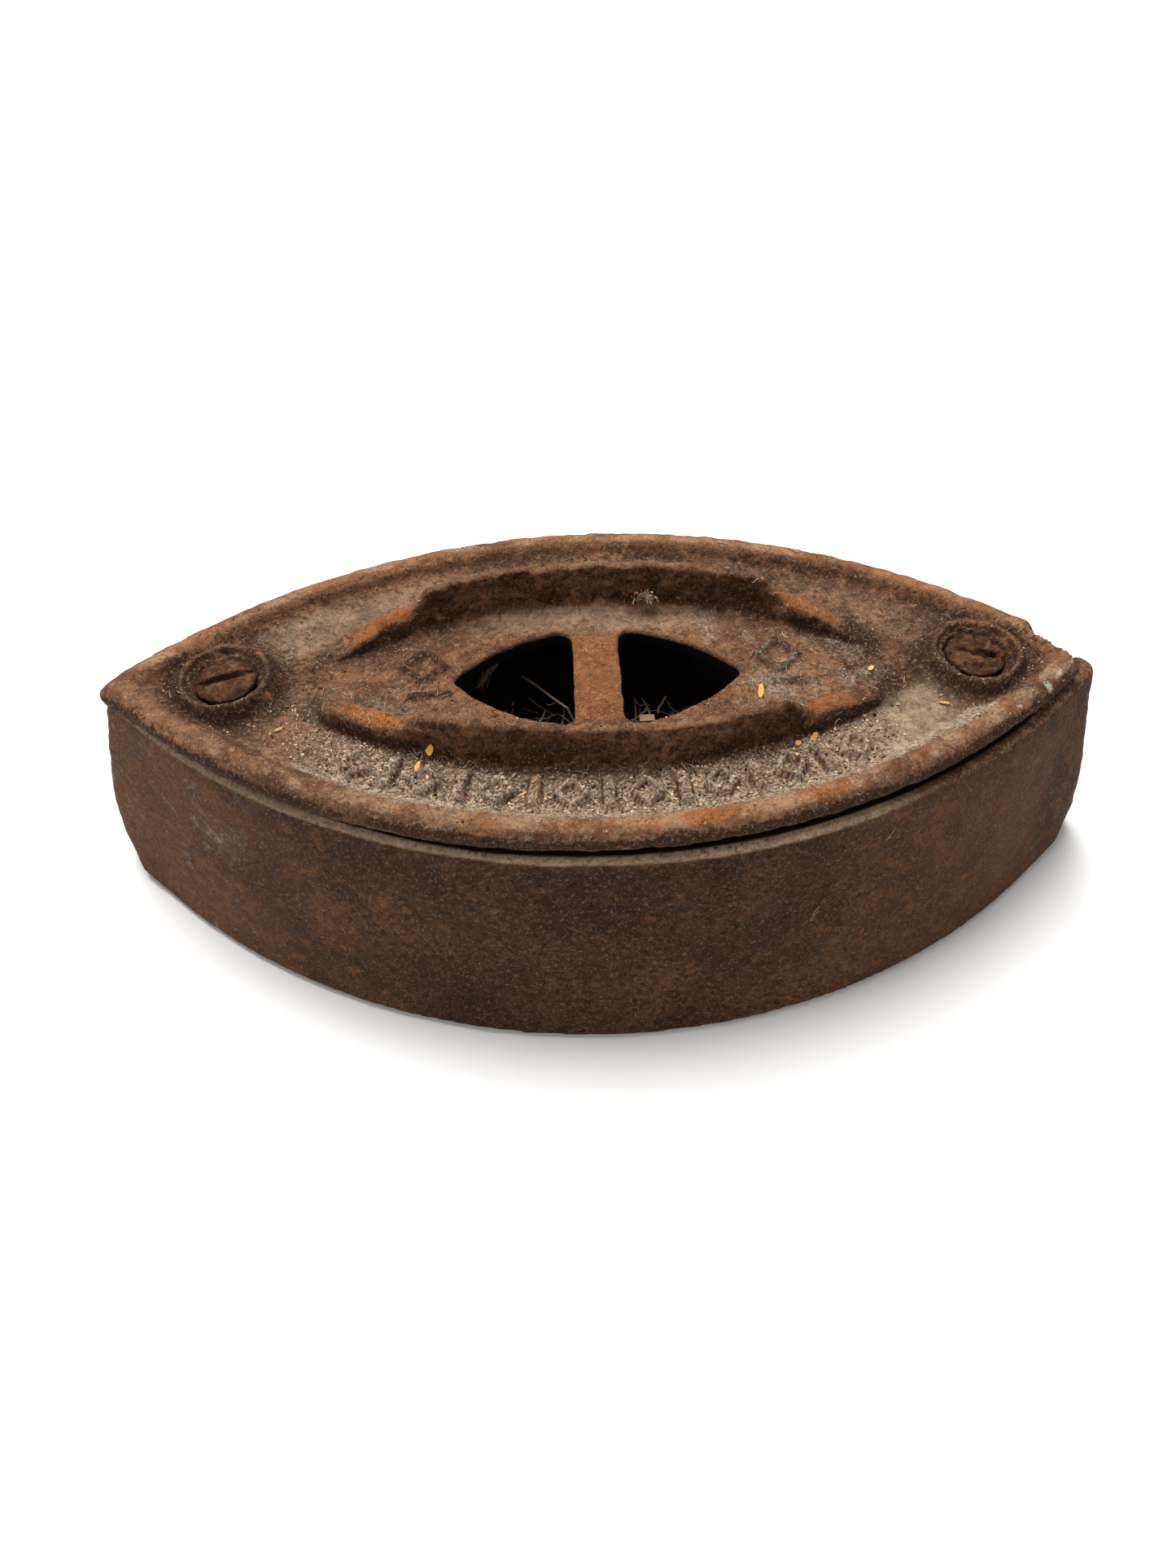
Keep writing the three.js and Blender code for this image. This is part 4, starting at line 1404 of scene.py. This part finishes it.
def rod(path, radius):
    """Points and faces of a rod along a path, pinched at both ends."""
    path = np.asarray(path, float)
    count = len(path)
    points = []
    for i in range(count):
        ahead = path[min(i + 1, count - 1)] - path[max(i - 1, 0)]
        ahead /= np.linalg.norm(ahead)
        across = np.cross(ahead, (0, 0, 1) if abs(ahead[2]) < 0.9 else (1, 0, 0))
        across /= np.linalg.norm(across)
        up = np.cross(across, ahead)
        thick = radius * (ROD_PINCH if i in (0, count - 1) else 1.0)
        for side in range(ROD_SIDES):
            angle = 2 * math.pi * side / ROD_SIDES
            points.append(path[i] + thick * (math.cos(angle) * across + math.sin(angle) * up))
    faces = []
    for i in range(count - 1):
        for side in range(ROD_SIDES):
            a, b = i * ROD_SIDES + side, i * ROD_SIDES + (side + 1) % ROD_SIDES
            faces.append((a, a + ROD_SIDES, b + ROD_SIDES, b))
    faces.append(tuple(range(ROD_SIDES)))
    faces.append(tuple((count - 1) * ROD_SIDES + side for side in reversed(range(ROD_SIDES))))
    return np.array(points), faces


def fibre_path(rng, surface, x, y, length, lift, steps=4, curliness=0.35):
    """A wandering path that lies on the surface, or None where it would fall off."""
    heading = rng.uniform(0, 2 * math.pi)
    curl = rng.normal(0, curliness)
    path = []
    for step in range(steps):
        hit = drop(surface, x, y)
        if hit is None:
            return None
        from_middle = abs(2 * step / (steps - 1) - 1)
        path.append(hit[0] + hit[1] * (lift * (0.4 + from_middle * rng.random())))
        heading += curl + rng.normal(0, 0.2)
        x += math.cos(heading) * length / (steps - 1)
        y += math.sin(heading) * length / (steps - 1)
    heights = [p[2] for p in path]
    return path if max(heights) - min(heights) < 0.9 * length else None


def make_fibres(rng):
    shapes = []
    for x, y in zip(*random_places(rng, FIBRES_TRIED)):
        length = 0.5 + 1.6 * rng.random() ** 2
        path = fibre_path(rng, cap_surface, x, y, length, FIBRE_LIFT)
        if path is None or path[0][2] < LOWEST:
            continue
        points, faces = rod(path, rng.uniform(0.035, 0.075))
        shapes.append((points, faces, rng.uniform(0.2, 0.75)))
    return shapes


join_shapes("panel_fibres", make_fibres(np.random.default_rng(203)), "cap", litter)

# %% [markdown]
# Then the few things that are large enough to be seen one by one, each at a listed place: flat
# flakes of straw on the panel, and a clod of chaff caught on the far ridge.

# %% Straw
FLAKES = (  # x, y, length, width, heading in degrees, shade
    (-25.1, -15.3, 1.7, 1.2, 70, 0.98),
    (-27.0, -17.0, 2.2, 0.7, 80, 0.9),
    (23.3, -4.3, 2.9, 0.9, 75, 0.95),
    (29.6, -13.9, 2.0, 0.9, 60, 0.8),
    (27.2, -14.9, 1.0, 0.8, 20, 0.95),
    (40.6, -0.2, 1.2, 0.8, 30, 1.0),
    (-12.0, -22.6, 1.6, 0.5, 15, 0.8),
    (5.0, -24.0, 1.9, 0.4, 5, 0.85),
    (-47.5, -9.5, 1.3, 0.6, 40, 0.7),
    (50.0, -8.0, 1.6, 0.5, -20, 0.7),
)
FLAKE_CORNERS = 7
FLAKE_LEVELS = (0.12, 0.3)  # of its underside and top above the surface


def flake_shape(rng, hit, length, width, heading):
    """A flat, slightly cupped chip with uneven corners."""
    place, normal = hit
    along = np.array((math.cos(math.radians(heading)), math.sin(math.radians(heading)), 0.25))
    along -= normal * along.dot(normal) * 0.8
    along /= np.linalg.norm(along)
    across = np.cross(normal, along)
    outline = []
    for k in range(FLAKE_CORNERS):
        angle = 2 * math.pi * k / FLAKE_CORNERS
        reach = rng.uniform(0.8, 1.15)
        outline.append((math.cos(angle) * length / 2 * reach, math.sin(angle) * width / 2 * reach))
    points = []
    for level in FLAKE_LEVELS:
        for u, v in outline:
            lift = level + 0.10 * (abs(u) / length) ** 2
            points.append(place + along * u + across * v + normal * lift)
    n = FLAKE_CORNERS
    faces = [tuple(reversed(range(n))), tuple(range(n, 2 * n))]
    faces += [(k, (k + 1) % n, (k + 1) % n + n, k + n) for k in range(n)]
    return np.array(points), faces


def make_flakes(rng):
    shapes = []
    for x, y, length, width, heading, shade in FLAKES:
        points, faces = flake_shape(rng, drop(cap_surface, x, y), length, width, heading)
        shapes.append((points, faces, shade))
    return shapes


join_shapes("straw_flakes", make_flakes(np.random.default_rng(205)), "cap", straw)

# %% A clod of chaff
CLOD_AT = (7.2, 14.2, 42.2)
CLOD_STEMS = 45
CLOD_GRAINS = 30


def make_clod(rng):
    """A tangle of chaff on the crest of the far ridge."""
    shapes = []
    centre, normal = np.array(CLOD_AT), np.array((0, -0.7, 0.7))
    for _ in range(CLOD_STEMS):
        start = centre + rng.normal(0, (0.8, 0.35, 0.4))
        path = [start]
        heading = rng.normal(size=3)
        for _ in range(3):
            heading += rng.normal(0, 0.5, 3)
            path.append(path[-1] + heading / np.linalg.norm(heading) * rng.uniform(0.2, 0.55))
        points, faces = rod(path, rng.uniform(0.06, 0.14))
        shapes.append((points, faces, rng.uniform(0.3, 0.8)))
    for _ in range(CLOD_GRAINS):
        size = rng.uniform(0.15, 0.4)
        place = centre + rng.normal(0, (0.8, 0.3, 0.3))
        shapes.append((grain_shape(rng, place, normal, size), OCTAHEDRON_FACES, rng.uniform(0.2, 0.6)))
    return shapes


join_shapes("ridge_clod", make_clod(np.random.default_rng(207)), "cap", litter)

# %% [markdown]
# Chaff has fallen through the windows into the well of the filling: fine fluff, one stem that leans
# on the edge, and a crumb of brick. They ride on the body, because they would stay there when the
# cap is lifted off.

# %% In the windows
FLUFF_COUNT = 150
STEM = (
    (-12.9, 9.6, 30.0), (-10.6, 8.2, 29.2), (-8.2, 6.6, 28.1), (-5.5, 4.9, 27.0), (-4.2, 3.6, 24.2),
)
CRUMB_AT = (7.5, 4.4)
CRUMB_HALF = (1.3, 0.8, 0.7)
CRUMB_FACES = ((0, 1, 3, 2), (4, 6, 7, 5), (0, 4, 5, 1), (2, 3, 7, 6), (0, 2, 6, 4), (1, 5, 7, 3))
filling_surface = tree_of(filling)


def make_fluff(rng):
    """Stems and fibres lying in the well of the filling."""
    shapes = []
    for _ in range(FLUFF_COUNT):
        x, y = rng.uniform(-20, 20), rng.uniform(-8, 9)
        path = fibre_path(rng, filling_surface, x, y, rng.uniform(1.5, 7), 0.8, 6, 0.1)
        if path is None:
            continue
        points, faces = rod(path, rng.uniform(0.06, 0.24))
        shapes.append((points, faces, rng.uniform(0.2, 0.95)))
    points, faces = rod(STEM, 0.2)
    shapes.append((points, faces, 0.45))
    return shapes


def make_crumb(rng):
    place, _ = drop(filling_surface, *CRUMB_AT)
    corners = np.array(list(itertools.product((-1, 1), repeat=3))) * CRUMB_HALF
    corners += rng.uniform(-0.18, 0.18, corners.shape)
    return [(corners + place + (0, 0, 0.9), CRUMB_FACES, 0.72)]


join_shapes("window_fluff", make_fluff(np.random.default_rng(209)), "body", litter)
join_shapes("brick_crumb", make_crumb(np.random.default_rng(211)), "body", litter)

# %% [markdown]
# An old cobweb, thick with dust, hangs from the far edge of the left window, and two hairs cling to
# the front wall. The web is a bundle of rods that sway together. A hair is one rod along a curl,
# with each of its points laid on the wall by a ray from in front.

# %% Cobweb and hairs
COBWEB_STRANDS = 22
COBWEB_TOP = np.array((-15.6, 8.6, 36.9))
COBWEB_FOOT = np.array((-20.2, 9.0, 28.0))
HAIRS = ((39.8, 33.0, 2.2, 1), (29.9, 22.0, 3.6, 2))  # x and z of the start, turns, and phase
HAIR_FALL = 1.8
HAIR_LIFT = 0.06
body_surface = tree_of(body)


def make_cobweb(rng):
    """A ragged strip that hangs from the left window's far edge."""
    shapes = []
    for _ in range(COBWEB_STRANDS):
        shift = rng.normal(0, 0.35, 3)
        path = []
        for step in range(7):
            t = step / 6
            sway = 0.6 * math.sin(5 * t + shift[0] * 4)
            middle = COBWEB_TOP * (1 - t) + COBWEB_FOOT * t
            path.append(middle + shift * (0.4 + t) + (sway, 0, 0) + rng.normal(0, 0.1, 3))
        points, faces = rod(path, rng.uniform(0.14, 0.28))
        shapes.append((points, faces, rng.uniform(0.45, 0.8)))
    return shapes


def make_wall_hairs():
    """Two fine curled hairs that cling to the front wall."""
    shapes = []
    for start_x, start_z, turns, phase in HAIRS:
        path = []
        for step in range(14):
            t = step / 13
            x = start_x + 0.5 * math.sin(turns * 3 * t + phase) - 0.3 * t
            z = start_z - HAIR_FALL * t + 0.5 * math.cos(turns * 3 * t)
            wall = body_surface.ray_cast(Vector((x, -100, z)) * MM, Vector((0, 1, 0)))[0]
            path.append(np.array(wall) / MM + (0, -HAIR_LIFT, 0))
        points, faces = rod(path, 0.05)
        shapes.append((points, faces, 0.75))
    return shapes


join_shapes("cobweb_strip", make_cobweb(np.random.default_rng(213)), "cap", litter)
join_shapes("wall_hairs", make_wall_hairs(), "body", litter)
